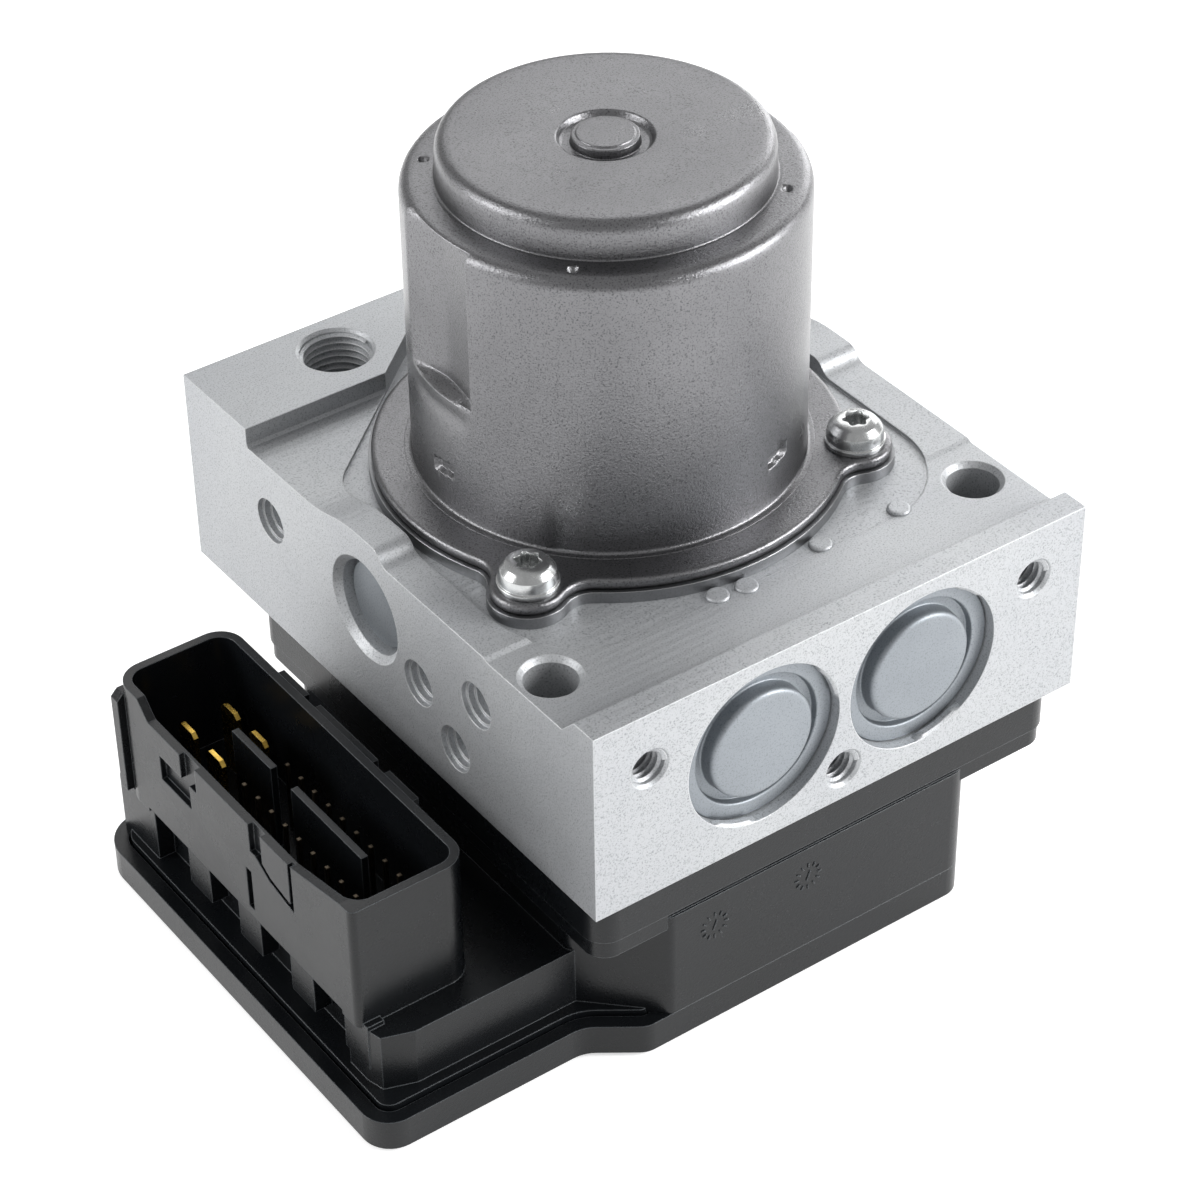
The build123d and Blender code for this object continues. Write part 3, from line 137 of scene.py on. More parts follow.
@dataclass(frozen=True)
class Finish:
    """A procedural finish: two colours that drift into each other, grain, painted edge highlights and
    gloss.
    """

    name: str
    colour: str
    tint: str
    metallic: float = 0.0
    roughness: float = 0.5
    roughness_swing: float = 0.1
    cloud_mm: float = 9.0
    grain_mm: float = 0.5
    grain_height_mm: float = 0.02
    speck: str = ""
    speck_amount: float = 0.0
    # Colour of the highlight painted along rounded edges, where the bevel normal turns away from the
    # face's own
    edge: str = ""
    edge_mm: float = 0.35
    pattern: Pattern = Pattern.PLAIN
    pitch_mm: float = 0.5
    milled_mm: float = 0.0
    ior: float = 1.5
    coat: float = 0.0

    @staticmethod
    def coordinates(tree: NodeTree) -> NodeSocket:
        """Gives object coordinates in millimetres.

        Args:
            tree: The material's tree.

        Returns:
            The socket with the coordinates.
        """
        place = add_node(tree, "ShaderNodeTexCoord").outputs["Object"]
        scale = Vector((1 / MM, 1 / MM, 1 / MM))
        return add_node(
            tree, "ShaderNodeVectorMath", {0: place, 1: scale}, operation="MULTIPLY"
        ).outputs[0]

    def base_colour(self, tree: NodeTree, place: NodeSocket) -> NodeSocket:
        """Mixes the two colours by slow clouds, and adds specks where the finish has them.

        Args:
            tree: The material's tree.
            place: The socket with object coordinates in millimetres.

        Returns:
            The colour.
        """
        cloud = add_node(
            tree, "ShaderNodeTexNoise",
            {"Scale": 1 / self.cloud_mm, "Detail": 4.0, "Roughness": 0.6, "Vector": place},
        )
        share = add_node(
            tree, "ShaderNodeMapRange",
            {"From Min": 0.35, "From Max": 0.65, "Value": cloud.outputs["Fac"]},
        )
        mixed = add_node(
            tree, "ShaderNodeMix",
            {0: share, 6: linear(self.colour), 7: linear(self.tint)}, data_type="RGBA",
        ).outputs[2]
        if self.speck:
            dots = add_node(
                tree, "ShaderNodeTexNoise",
                {
                    "Scale": SPECK_FINENESS / self.grain_mm, "Detail": 2.0, "Roughness": 0.5,
                    "Vector": place,
                },
            )
            mask = add_node(
                tree, "ShaderNodeMapRange",
                {
                    "From Min": 0.52, "From Max": 0.70, "To Max": self.speck_amount,
                    "Value": dots.outputs["Fac"],
                },
            )
            mixed = add_node(
                tree, "ShaderNodeMix", {0: mask, 6: mixed, 7: linear(self.speck)}, data_type="RGBA"
            ).outputs[2]
        return mixed

    def height(self, tree: NodeTree, place: NodeSocket) -> NodeSocket:
        """Gives the height of the grain, with bands or cutter lines where the finish has them.

        Args:
            tree: The material's tree.
            place: The socket with object coordinates in millimetres.

        Returns:
            The height, in shares of the grain's own.
        """
        grain = add_node(
            tree, "ShaderNodeTexNoise",
            {"Scale": 1 / self.grain_mm, "Detail": 5.0, "Roughness": 0.65, "Vector": place},
        ).outputs["Fac"]
        if self.pattern in (Pattern.WOUND, Pattern.STACKED):
            bands = add_node(
                tree, "ShaderNodeTexWave",
                {
                    "Scale": WAVE_LENGTH / self.pitch_mm, "Vector": place,
                    "Distortion": 1.5 if self.pattern is Pattern.WOUND else 0.1,
                },
                bands_direction="Z",
            ).outputs["Fac"]
            grain = add_node(
                tree, "ShaderNodeMath", {0: bands, 1: BAND_RELIEF, 2: grain}, operation="MULTIPLY_ADD"
            ).outputs[0]
        if self.milled_mm:
            facing = add_node(tree, "ShaderNodeNewGeometry").outputs["Normal"]
            up = add_node(tree, "ShaderNodeSeparateXYZ", {0: facing}).outputs["Z"]
            flat = add_node(
                tree, "ShaderNodeMath", {0: up, 1: LEVEL_NORMAL}, operation="GREATER_THAN"
            ).outputs[0]
            lines = add_node(
                tree, "ShaderNodeTexWave",
                {
                    "Scale": WAVE_LENGTH / self.milled_mm, "Distortion": 0.4, "Detail": 2.0,
                    "Detail Scale": 0.3, "Vector": place,
                },
                bands_direction="Y",
            ).outputs["Fac"]
            cut = add_node(tree, "ShaderNodeMath", {0: lines, 1: flat}, operation="MULTIPLY").outputs[0]
            grain = add_node(
                tree, "ShaderNodeMath", {0: cut, 1: CUTTER_RELIEF, 2: grain}, operation="MULTIPLY_ADD"
            ).outputs[0]
        return grain

    def painted_edge_highlights(
        self, tree: NodeTree, colour: NodeSocket, rounded: Node
    ) -> NodeSocket:
        """Paints a highlight into the colour along edges, where the rounded normal leaves the face's
        own.

        Args:
            tree: The material's tree.
            colour: The colour away from the edges.
            rounded: The node that rounds the normals.

        Returns:
            The colour with its painted edge highlights.
        """
        facing = add_node(tree, "ShaderNodeNewGeometry").outputs["Normal"]
        match = add_node(tree, "ShaderNodeVectorMath", {0: facing, 1: rounded}, operation="DOT_PRODUCT")
        mask = add_node(
            tree, "ShaderNodeMapRange",
            {"From Min": 0.97, "From Max": 0.80, "To Max": 0.75, "Value": match.outputs["Value"]},
        )
        return add_node(
            tree, "ShaderNodeMix", {0: mask, 6: colour, 7: linear(self.edge)}, data_type="RGBA"
        ).outputs[2]

    def gloss(self, tree: NodeTree, place: NodeSocket) -> Node:
        """Gives the roughness, which swings in soft patches.

        Args:
            tree: The material's tree.
            place: The socket with object coordinates in millimetres.

        Returns:
            The node that gives the roughness.
        """
        shine = add_node(
            tree, "ShaderNodeTexNoise",
            {"Scale": GLOSS_FINENESS / self.cloud_mm, "Detail": 6.0, "Roughness": 0.7, "Vector": place},
        )
        return add_node(
            tree, "ShaderNodeMapRange",
            {
                "From Min": 0.3, "From Max": 0.7,
                "To Min": max(0.03, self.roughness - self.roughness_swing),
                "To Max": min(1.0, self.roughness + self.roughness_swing),
                "Value": shine.outputs["Fac"],
            },
        )

    def build(self) -> Material:
        """Builds the material.

        Returns:
            A node material with the finish's name.
        """
        material = bpy.data.materials.new(self.name)
        material.use_nodes = True
        tree = material.node_tree
        tree.nodes.clear()
        place = self.coordinates(tree)
        colour = self.base_colour(tree, place)
        height = self.height(tree, place)
        rounded = add_node(tree, "ShaderNodeBevel", {"Radius": self.edge_mm * MM}, samples=4)
        relief = {"Strength": 1.0, "Distance": self.grain_height_mm * MM, "Height": height}
        bump = add_node(tree, "ShaderNodeBump", {**relief, "Normal": rounded})
        # A highlight is painted along the rounded edges in the finish's edge colour
        if self.edge:
            colour = self.painted_edge_highlights(tree, colour, rounded)
        shader = add_node(
            tree, "ShaderNodeBsdfPrincipled",
            {
                "Base Color": colour, "Roughness": self.gloss(tree, place), "Normal": bump,
                "Metallic": self.metallic, "IOR": self.ior, "Coat Weight": self.coat,
            },
        )
        add_node(tree, "ShaderNodeOutputMaterial", {"Surface": shader})
        return material


# Blasted aluminium: extruded bar, machined and tumbled. A pale silky metal with a sugar grain
# (drawn at 0.42 mm, the real grit is finer), painted highlights along its edges, and cutter lines on its
# milled top.
BLASTED_ALUMINIUM = Finish(
    "blasted_aluminium", "bfc1c3", "babcbf", metallic=0.6, roughness=0.46, roughness_swing=0.03,
    cloud_mm=30.0, grain_mm=0.42, grain_height_mm=0.08, speck="74787b", speck_amount=0.65,
    edge="f4f5f6", edge_mm=0.28, milled_mm=1.6,
)
# Deep-drawn steel with a zinc-nickel plating: satin mid grey with a fine dark and light mottle
# (drawn at 0.42 mm, the real one is finer).
DRAWN_STEEL = Finish(
    "drawn_plated_steel", "848486", "7a7a7c", metallic=1.0, roughness=0.29, roughness_swing=0.03,
    cloud_mm=30.0, grain_mm=0.42, grain_height_mm=0.085, speck="464648", speck_amount=0.75,
    edge="c4c4c7", edge_mm=0.2,
)
# Pressed steel plate with the same plating: a little brighter, with a weaker mottle.
PLATE_STEEL = Finish(
    "pressed_plated_steel", "8f9092", "838486", metallic=1.0, roughness=0.36, roughness_swing=0.05,
    cloud_mm=12.0, grain_mm=0.5, grain_height_mm=0.025, speck="606163", speck_amount=0.3,
    edge="d0d1d2", edge_mm=0.2,
)
# Pressed cap steel: flat grey with a dull sheen and a fine tooth.
CAP_STEEL = Finish(
    "cap_steel", "979ca1", "8f9499", metallic=0.85, roughness=0.50, roughness_swing=0.04,
    cloud_mm=20.0, grain_mm=0.45, grain_height_mm=0.03, speck="5f6366", speck_amount=0.4,
    edge="b5b8ba", edge_mm=0.2,
)
# Turned and ground steel: brighter and smoother than the pressed parts.
TURNED_STEEL = Finish(
    "turned_steel", "b4b6b8", "a2a5a8", metallic=1.0, roughness=0.30, roughness_swing=0.05,
    cloud_mm=4.0, grain_mm=0.3, grain_height_mm=0.01, edge="dfe0e1", edge_mm=0.15,
)
# Bright zinc plating of a rolled-thread screw: nearly white highlights.
BRIGHT_ZINC = Finish(
    "bright_zinc", "cfd0d0", "bdbfbf", metallic=1.0, roughness=0.24, roughness_swing=0.06,
    cloud_mm=2.5, grain_mm=0.35, grain_height_mm=0.012, speck="9a9c9c", speck_amount=0.2,
    edge="f0f0f0", edge_mm=0.12,
)
# Aluminium with a thin anodised layer, as on small pistons.
ANODISED_ALUMINIUM = Finish(
    "anodised_aluminium", "b9b39a", "aaa58f", metallic=1.0, roughness=0.36, cloud_mm=4.0,
    grain_mm=0.3, grain_height_mm=0.01, edge="d6d2bf", edge_mm=0.15,
)
# Oil-tempered spring wire: dark steel with a silky skin.
SPRING_WIRE = Finish(
    "spring_wire", "7b7c7e", "67686a", metallic=1.0, roughness=0.34, cloud_mm=2.0, grain_mm=0.2,
    grain_height_mm=0.008, edge_mm=0.08,
)
# Glass-filled polyester, injection moulded: near-black charcoal with a half-gloss spark-eroded skin, and
# a grey highlight painted along its edges.
MOULDED_POLYESTER = Finish(
    "moulded_polyester", "101214", "131518", metallic=0.0, roughness=0.27, roughness_swing=0.04,
    cloud_mm=25.0, grain_mm=0.5, grain_height_mm=0.03, speck="1a1d20", speck_amount=0.35,
    edge="787d81", edge_mm=0.28, ior=1.39,
)
# Moulded seal rubber: matt black with a faint bloom.
SEAL_RUBBER = Finish(
    "seal_rubber", "1d1d1e", "262627", roughness=0.72, cloud_mm=4.0, grain_mm=0.3,
    grain_height_mm=0.015, edge_mm=0.1,
)
# Glass-fibre board under green solder resist: smooth, two greens that drift into each other.
SOLDER_RESIST = Finish(
    "solder_resist", "1f5a33", "194a2a", roughness=0.34, cloud_mm=6.0, grain_mm=0.8,
    grain_height_mm=0.02, edge_mm=0.1,
)
# Terminals plated in a pale gold tone over copper alloy.
GOLD_PLATING = Finish(
    "gold_plating", "d6b45a", "c4a04a", metallic=1.0, roughness=0.26, cloud_mm=2.0, grain_mm=0.2,
    grain_height_mm=0.006, edge="f0dc9a", edge_mm=0.08,
)
# Sintered ferrite: dark grey and stony.
SINTERED_FERRITE = Finish(
    "sintered_ferrite", "3b3c3f", "2f3032", roughness=0.62, cloud_mm=3.0, grain_mm=0.3,
    grain_height_mm=0.03, speck="505154", speck_amount=0.4, edge_mm=0.2,
)
# Stacked electrical steel: half-millimetre sheets that show as fine lines.
STACKED_SHEETS = Finish(
    "stacked_sheets", "77797c", "68696c", metallic=1.0, roughness=0.40, cloud_mm=5.0, grain_mm=0.3,
    grain_height_mm=0.05, pattern=Pattern.STACKED, pitch_mm=0.5, edge_mm=0.1,
)
# Enamelled copper wire, wound in turns of 0.7 mm under clear varnish.
ENAMELLED_COPPER = Finish(
    "enamelled_copper", "a8542a", "8e4320", metallic=0.6, roughness=0.28, cloud_mm=3.0,
    grain_mm=0.4, grain_height_mm=0.12, pattern=Pattern.WOUND, pitch_mm=0.7, edge_mm=0.2, coat=0.3,
)
# Bare copper segments, turned true after assembly.
BARE_COPPER = Finish(
    "bare_copper", "c07a52", "a8643e", metallic=1.0, roughness=0.30, cloud_mm=3.0, grain_mm=0.3,
    grain_height_mm=0.01, edge="dd9f7a", edge_mm=0.1,
)
# Pressed carbon: soft black with a graphite sheen.
PRESSED_CARBON = Finish(
    "pressed_carbon", "2a2a2b", "343435", metallic=0.2, roughness=0.5, cloud_mm=2.0, grain_mm=0.2,
    grain_height_mm=0.02, edge_mm=0.1,
)
# Brown phenolic moulding, as on brush plates and lead sleeves.
BROWN_PHENOLIC = Finish(
    "brown_phenolic", "4a3626", "3e2d20", roughness=0.45, cloud_mm=5.0, grain_mm=0.4,
    grain_height_mm=0.02, edge="6a5240", edge_mm=0.2,
)
# Coils in a dark thermoset overmould.
COIL_MOULDING = Finish(
    "coil_moulding", "2d2926", "36312d", roughness=0.5, cloud_mm=4.0, grain_mm=0.4,
    grain_height_mm=0.03, pattern=Pattern.WOUND, pitch_mm=0.8, edge_mm=0.2,
)
# Oil-filled sintered bronze.
SINTERED_BRONZE = Finish(
    "sintered_bronze", "a07a4a", "8c693e", metallic=1.0, roughness=0.45, cloud_mm=2.0,
    grain_mm=0.25, grain_height_mm=0.03, edge_mm=0.1,
)
# Tin-plated pins: dull brown-grey metal that hardly catches the light inside the socket.
TARNISHED_TIN = Finish(
    "tarnished_tin", "6b6153", "5a5145", metallic=1.0, roughness=0.42, roughness_swing=0.08,
    cloud_mm=2.0, grain_mm=0.3, grain_height_mm=0.01,
)

SLOT_FINISH: dict[str, Finish] = {
    "block_aluminium": BLASTED_ALUMINIUM,
    "can_steel": DRAWN_STEEL,
    "plate_steel": PLATE_STEEL,
    "cap_steel": CAP_STEEL,
    "turned_steel": TURNED_STEEL,
    "screw_zinc": BRIGHT_ZINC,
    "piston_aluminium": ANODISED_ALUMINIUM,
    "spring_steel": SPRING_WIRE,
    "housing_plastic": MOULDED_POLYESTER,
    "seal_rubber": SEAL_RUBBER,
    "board": SOLDER_RESIST,
    "terminal_metal": GOLD_PLATING,
    "ferrite": SINTERED_FERRITE,
    "core_steel": STACKED_SHEETS,
    "winding_copper": ENAMELLED_COPPER,
    "commutator_copper": BARE_COPPER,
    "brush_carbon": PRESSED_CARBON,
    "brush_plastic": BROWN_PHENOLIC,
    "coil_case": COIL_MOULDING,
    "bush_bronze": SINTERED_BRONZE,
}
# Nodes whose finish differs from the rest of their slot
NODE_FINISH: dict[str, Finish] = {"signal_pins": TARNISHED_TIN, "dome_plugs": BLASTED_ALUMINIUM}


@dataclass
class FinishRack:
    """Holds each finish's material once it has been built."""

    built: dict[str, Material] = field(default_factory=dict)

    def get(self, finish: Finish) -> Material:
        """Gives the material of a finish, and builds it at its first use.

        Args:
            finish: The finish.

        Returns:
            Its material.
        """
        if finish.name not in self.built:
            self.built[finish.name] = finish.build()
        return self.built[finish.name]

    def dress_nodes(self, frame: dict) -> None:
        """Gives every CAD node the finish of its record slot.
        """
        for part in frame["record"]["subparts"]:
            node = frame["nodes"][part["node"]]
            material = self.get(NODE_FINISH.get(part["node"], SLOT_FINISH[part["material_slot"]]))
            node.data.materials.clear()
            node.data.materials.append(material)


def new_piece(name: str, mesh: Mesh, body: str = ROOT_BODY) -> Object:
    """Links a finished mesh as a piece that rides on a body.

    Args:
        name: The piece's name.
        mesh: Its mesh, in metres in the shared frame.
        body: The CAD body that carries it.

    Returns:
        The new object.
    """
    mesh.name = name
    piece = bpy.data.objects.new(name, mesh)
    bpy.context.scene.collection.objects.link(piece)
    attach(piece, body)
    LOG.info("piece %s: %d faces on %s", name, len(mesh.polygons), body)
    return piece


def grown_mesh(
    name: str, tree: NodeTree, inputs: dict[str, object], base: Mesh | None = None
) -> Mesh:
    """Runs a geometry tree once and returns its result as a plain mesh.

    Args:
        name: Name for the mesh.
        tree: The geometry tree.
        inputs: Values for the tree's named inputs.
        base: The mesh that the tree starts from.

    Returns:
        The evaluated mesh.
    """
    holder = bpy.data.objects.new(name, base or bpy.data.meshes.new(name + "_base"))
    bpy.context.scene.collection.objects.link(holder)
    modifier = holder.modifiers.new("shape", "NODES")
    modifier.node_group = tree
    for item in tree.interface.items_tree:
        if item.item_type == "SOCKET" and item.in_out == "INPUT" and item.name in inputs:
            modifier[item.identifier] = inputs[item.name]
    holder.update_tag()
    evaluated = holder.evaluated_get(bpy.context.evaluated_depsgraph_get())
    mesh = bpy.data.meshes.new_from_object(evaluated)
    holder.modifiers.remove(modifier)
    bpy.data.objects.remove(holder)
    return mesh


def open_tree(name: str, inputs: dict[str, tuple[str, object]]) -> tuple[NodeTree, Node]:
    """Starts a geometry tree with named inputs.

    Args:
        name: The tree's name.
        inputs: Socket type and default value of each named input.

    Returns:
        The tree and its group input node.
    """
    tree = bpy.data.node_groups.new(name, "GeometryNodeTree")
    tree.interface.new_socket("Geometry", in_out="INPUT", socket_type="NodeSocketGeometry")
    for label, (kind, default) in inputs.items():
        socket = tree.interface.new_socket(label, in_out="INPUT", socket_type=kind)
        if default is not None:
            socket.default_value = default
    tree.interface.new_socket("Geometry", in_out="OUTPUT", socket_type="NodeSocketGeometry")
    return tree, tree.nodes.new("NodeGroupInput")


def close_tree(tree: NodeTree, shape: NodeSocket, material: NodeSocket) -> None:
    """Ends a geometry tree in Realize Instances and Set Material.

    Args:
        tree: The tree.
        shape: The shape that it has made.
        material: The finish.
    """
    real = add_node(tree, "GeometryNodeRealizeInstances", {0: shape})
    painted = add_node(tree, "GeometryNodeSetMaterial", {"Geometry": real, "Material": material})
    add_node(tree, "NodeGroupOutput", {0: painted})


def smooth(mesh: Mesh, angle: float) -> Mesh:
    """Shades a mesh smooth and keeps edges sharper than the angle crisp.

    Args:
        mesh: The mesh.
        angle: Least angle of a crisp edge, in degrees.

    Returns:
        The same mesh.
    """
    mesh.polygons.foreach_set("use_smooth", [True] * len(mesh.polygons))
    mesh.set_sharp_from_angle(angle=math.radians(angle))
    return mesh


@dataclass
class Turner:
    """Turns a profile round the Z axis with geometry nodes."""

    tree: NodeTree = field(init=False)

    def __post_init__(self) -> None:
        """Builds the turning tree: a flat grid is rolled up along the profile."""
        tree, given = open_tree(
            "turned_profile",
            {
                "Steps": ("NodeSocketInt", 8),
                "Segments": ("NodeSocketInt", 96),
                "Material": ("NodeSocketMaterial", None),
            },
        )
        columns = add_node(
            tree, "ShaderNodeMath", {0: given.outputs["Segments"], 1: 1.0}, operation="ADD"
        )
        grid = add_node(
            tree, "GeometryNodeMeshGrid",
            {"Size X": 1.0, "Size Y": 1.0, "Vertices X": given.outputs["Steps"], "Vertices Y": columns},
        )
        place = add_node(tree, "GeometryNodeInputPosition")
        parts = add_node(tree, "ShaderNodeSeparateXYZ", {0: place})
        last = add_node(
            tree, "ShaderNodeMath", {0: given.outputs["Steps"], 1: 1.0}, operation="SUBTRACT"
        )
        along = add_node(tree, "ShaderNodeMath", {0: parts.outputs["X"], 1: 0.5}, operation="ADD")
        index = add_node(tree, "ShaderNodeMath", {0: along, 1: last}, operation="MULTIPLY")
        whole = add_node(tree, "ShaderNodeMath", {0: index}, operation="ROUND")
        sample = add_node(
            tree, "GeometryNodeSampleIndex",
            {"Geometry": given.outputs["Geometry"], "Value": place, "Index": whole},
            data_type="FLOAT_VECTOR", domain="POINT",
        )
        profile = add_node(tree, "ShaderNodeSeparateXYZ", {0: sample})
        turn = add_node(
            tree, "ShaderNodeMath", {0: parts.outputs["Y"], 1: 2 * math.pi}, operation="MULTIPLY"
        )
        rolled = {"Z": profile.outputs["Z"]}
        for axis, wave in (("X", "COSINE"), ("Y", "SINE")):
            factor = add_node(tree, "ShaderNodeMath", {0: turn}, operation=wave)
            rolled[axis] = add_node(
                tree, "ShaderNodeMath", {0: profile.outputs["X"], 1: factor}, operation="MULTIPLY"
            )
        target = add_node(tree, "ShaderNodeCombineXYZ", rolled)
        moved = add_node(
            tree, "GeometryNodeSetPosition", {"Geometry": grid.outputs["Mesh"], "Position": target}
        )
        merged = add_node(
            tree, "GeometryNodeMergeByDistance", {"Distance": MERGED_MM * MM, "Geometry": moved}
        )
        close_tree(tree, merged.outputs[0], given.outputs["Material"])
        self.tree = tree

    def turn(self, name: str, profile: list[Pair], segments: int, material: Material) -> Mesh:
        """Turns one profile.

        Args:
            name: Name for the mesh.
            profile: Radius and height pairs in millimetres, from the outside going round.
            segments: Number of steps round the axis.
            material: The finish.

        Returns:
            The turned mesh.
        """
        base = bpy.data.meshes.new(name + "_profile")
        base.from_pydata([(r * MM, 0, z * MM) for r, z in profile], [], [])
        mesh = grown_mesh(
            name, self.tree, {"Steps": len(profile), "Segments": segments, "Material": material}, base
        )
        return outward(mesh)


def outward(mesh: Mesh) -> Mesh:
    """Merges doubles, drops loose edges and makes the faces of a closed mesh point outwards.

    Args:
        mesh: The mesh.

    Returns:
        The same mesh.
    """
    work = bmesh.new()
    work.from_mesh(mesh)
    bmesh.ops.remove_doubles(work, verts=work.verts, dist=MERGED_MM * MM)
    bmesh.ops.dissolve_degenerate(work, edges=work.edges, dist=VANISHING_MM * MM)
    bmesh.ops.delete(work, geom=[edge for edge in work.edges if not edge.link_faces], context="EDGES")
    bmesh.ops.recalc_face_normals(work, faces=work.faces)
    work.to_mesh(mesh)
    work.free()
    return mesh


def lofted(
    name: str,
    shells: list[list[list[Point]]],
    material: Material,
    looped: bool = False,
    capped: bool = False,
) -> Mesh:
    """Skins rings of points into closed shells.

    Args:
        name: Name for the mesh.
        shells: Rings of each shell, all of the same length, in millimetres.
        material: The finish.
        looped: Joins the last ring to the first.
        capped: Closes the first and the last ring with a face.

    Returns:
        One mesh with every shell.
    """
    work = bmesh.new()
    for shell in shells:
        rings = [[work.verts.new([c * MM for c in point]) for point in ring] for ring in shell]
        if looped:
            rings.append(rings[0])
        for lower, upper in zip(rings, rings[1:]):
            for i in range(len(lower)):
                j = (i + 1) % len(lower)
                work.faces.new((lower[i], lower[j], upper[j], upper[i]))
        if capped:
            work.faces.new(rings[0])
            work.faces.new(rings[-1])
    mesh = bpy.data.meshes.new(name)
    work.to_mesh(mesh)
    work.free()
    mesh.materials.append(material)
    return outward(mesh)


def rounded_profile(corners: list[Point], steps: int = 6) -> list[Pair]:
    """Rounds the corners of an open profile.

    Args:
        corners: Radius, height and corner rounding of each point, in millimetres.
        steps: Points on each rounding.

    Returns:
        The rounded profile.
    """
    result: list[Pair] = []
    for i, (r, z, rounding) in enumerate(corners):
        if rounding <= 0 or i in (0, len(corners) - 1):
            result.append((r, z))
            continue
        here = Vector((r, z))
        before = Vector(corners[i - 1][:2]) - here
        after = Vector(corners[i + 1][:2]) - here
        angle = before.angle(after)
        longest = min(before.length * SIDE_SHARE, after.length * SIDE_SHARE)
        reach = min(rounding / math.tan(angle / 2), longest)
        start = here + before.normalized() * reach
        end = here + after.normalized() * reach
        for k in range(steps + 1):
            t = k / steps
            point = start * (1 - t) ** 2 + here * 2 * t * (1 - t) + end * t**2
            result.append((point.x, point.y))
    return result


def subdivided(profile: list[Pair], longest: float) -> list[Pair]:
    """Adds points to a profile so that no step is longer than a length in millimetres.

    Args:
        profile: Radius and height pairs in millimetres.
        longest: The length.

    Returns:
        The profile with its added points.
    """
    result = [profile[0]]
    for (r0, z0), (r1, z1) in zip(profile, profile[1:]):
        count = max(1, math.ceil(math.hypot(r1 - r0, z1 - z0) / longest))
        for k in range(1, count + 1):
            result.append((r0 + (r1 - r0) * k / count, z0 + (z1 - z0) * k / count))
    return result


def ease(value: float, low: float, high: float) -> float:
    """Smooth step from 0 at low to 1 at high.

    Args:
        value: Where the step is read.
        low: Where it is 0.
        high: Where it is 1.

    Returns:
        The height of the step.
    """
    share = min(1.0, max(0.0, (value - low) / (high - low)))
    return share * share * (3 - 2 * share)


def graded(profile: list[Pair], coarse: float, fine: float, bands: tuple[Pair, ...]) -> list[Pair]:
    """Adds points to a profile: short steps inside the given height bands, long ones elsewhere.

    Args:
        profile: Radius and height pairs in millimetres.
        coarse: Longest step outside the bands.
        fine: Longest step inside a band.
        bands: Lowest and highest height of each band.

    Returns:
        The profile with its added points.
    """
    result = [profile[0]]
    for (r0, z0), (r1, z1) in zip(profile, profile[1:]):
        stops = {0.0, 1.0}
        if abs(z1 - z0) > 1e-6:
            shares = [(z - z0) / (z1 - z0) for band in bands for z in band]
            stops |= {share for share in shares if 0 < share < 1}
        ordered = sorted(stops)
        for start, end in zip(ordered, ordered[1:]):
            middle = z0 + (z1 - z0) * (start + end) / 2
            longest = fine if any(low < middle < high for low, high in bands) else coarse
            count = max(1, math.ceil(math.hypot(r1 - r0, z1 - z0) * (end - start) / longest))
            for k in range(1, count + 1):
                share = start + (end - start) * k / count
                result.append((r0 + (r1 - r0) * share, z0 + (z1 - z0) * share))
    return result


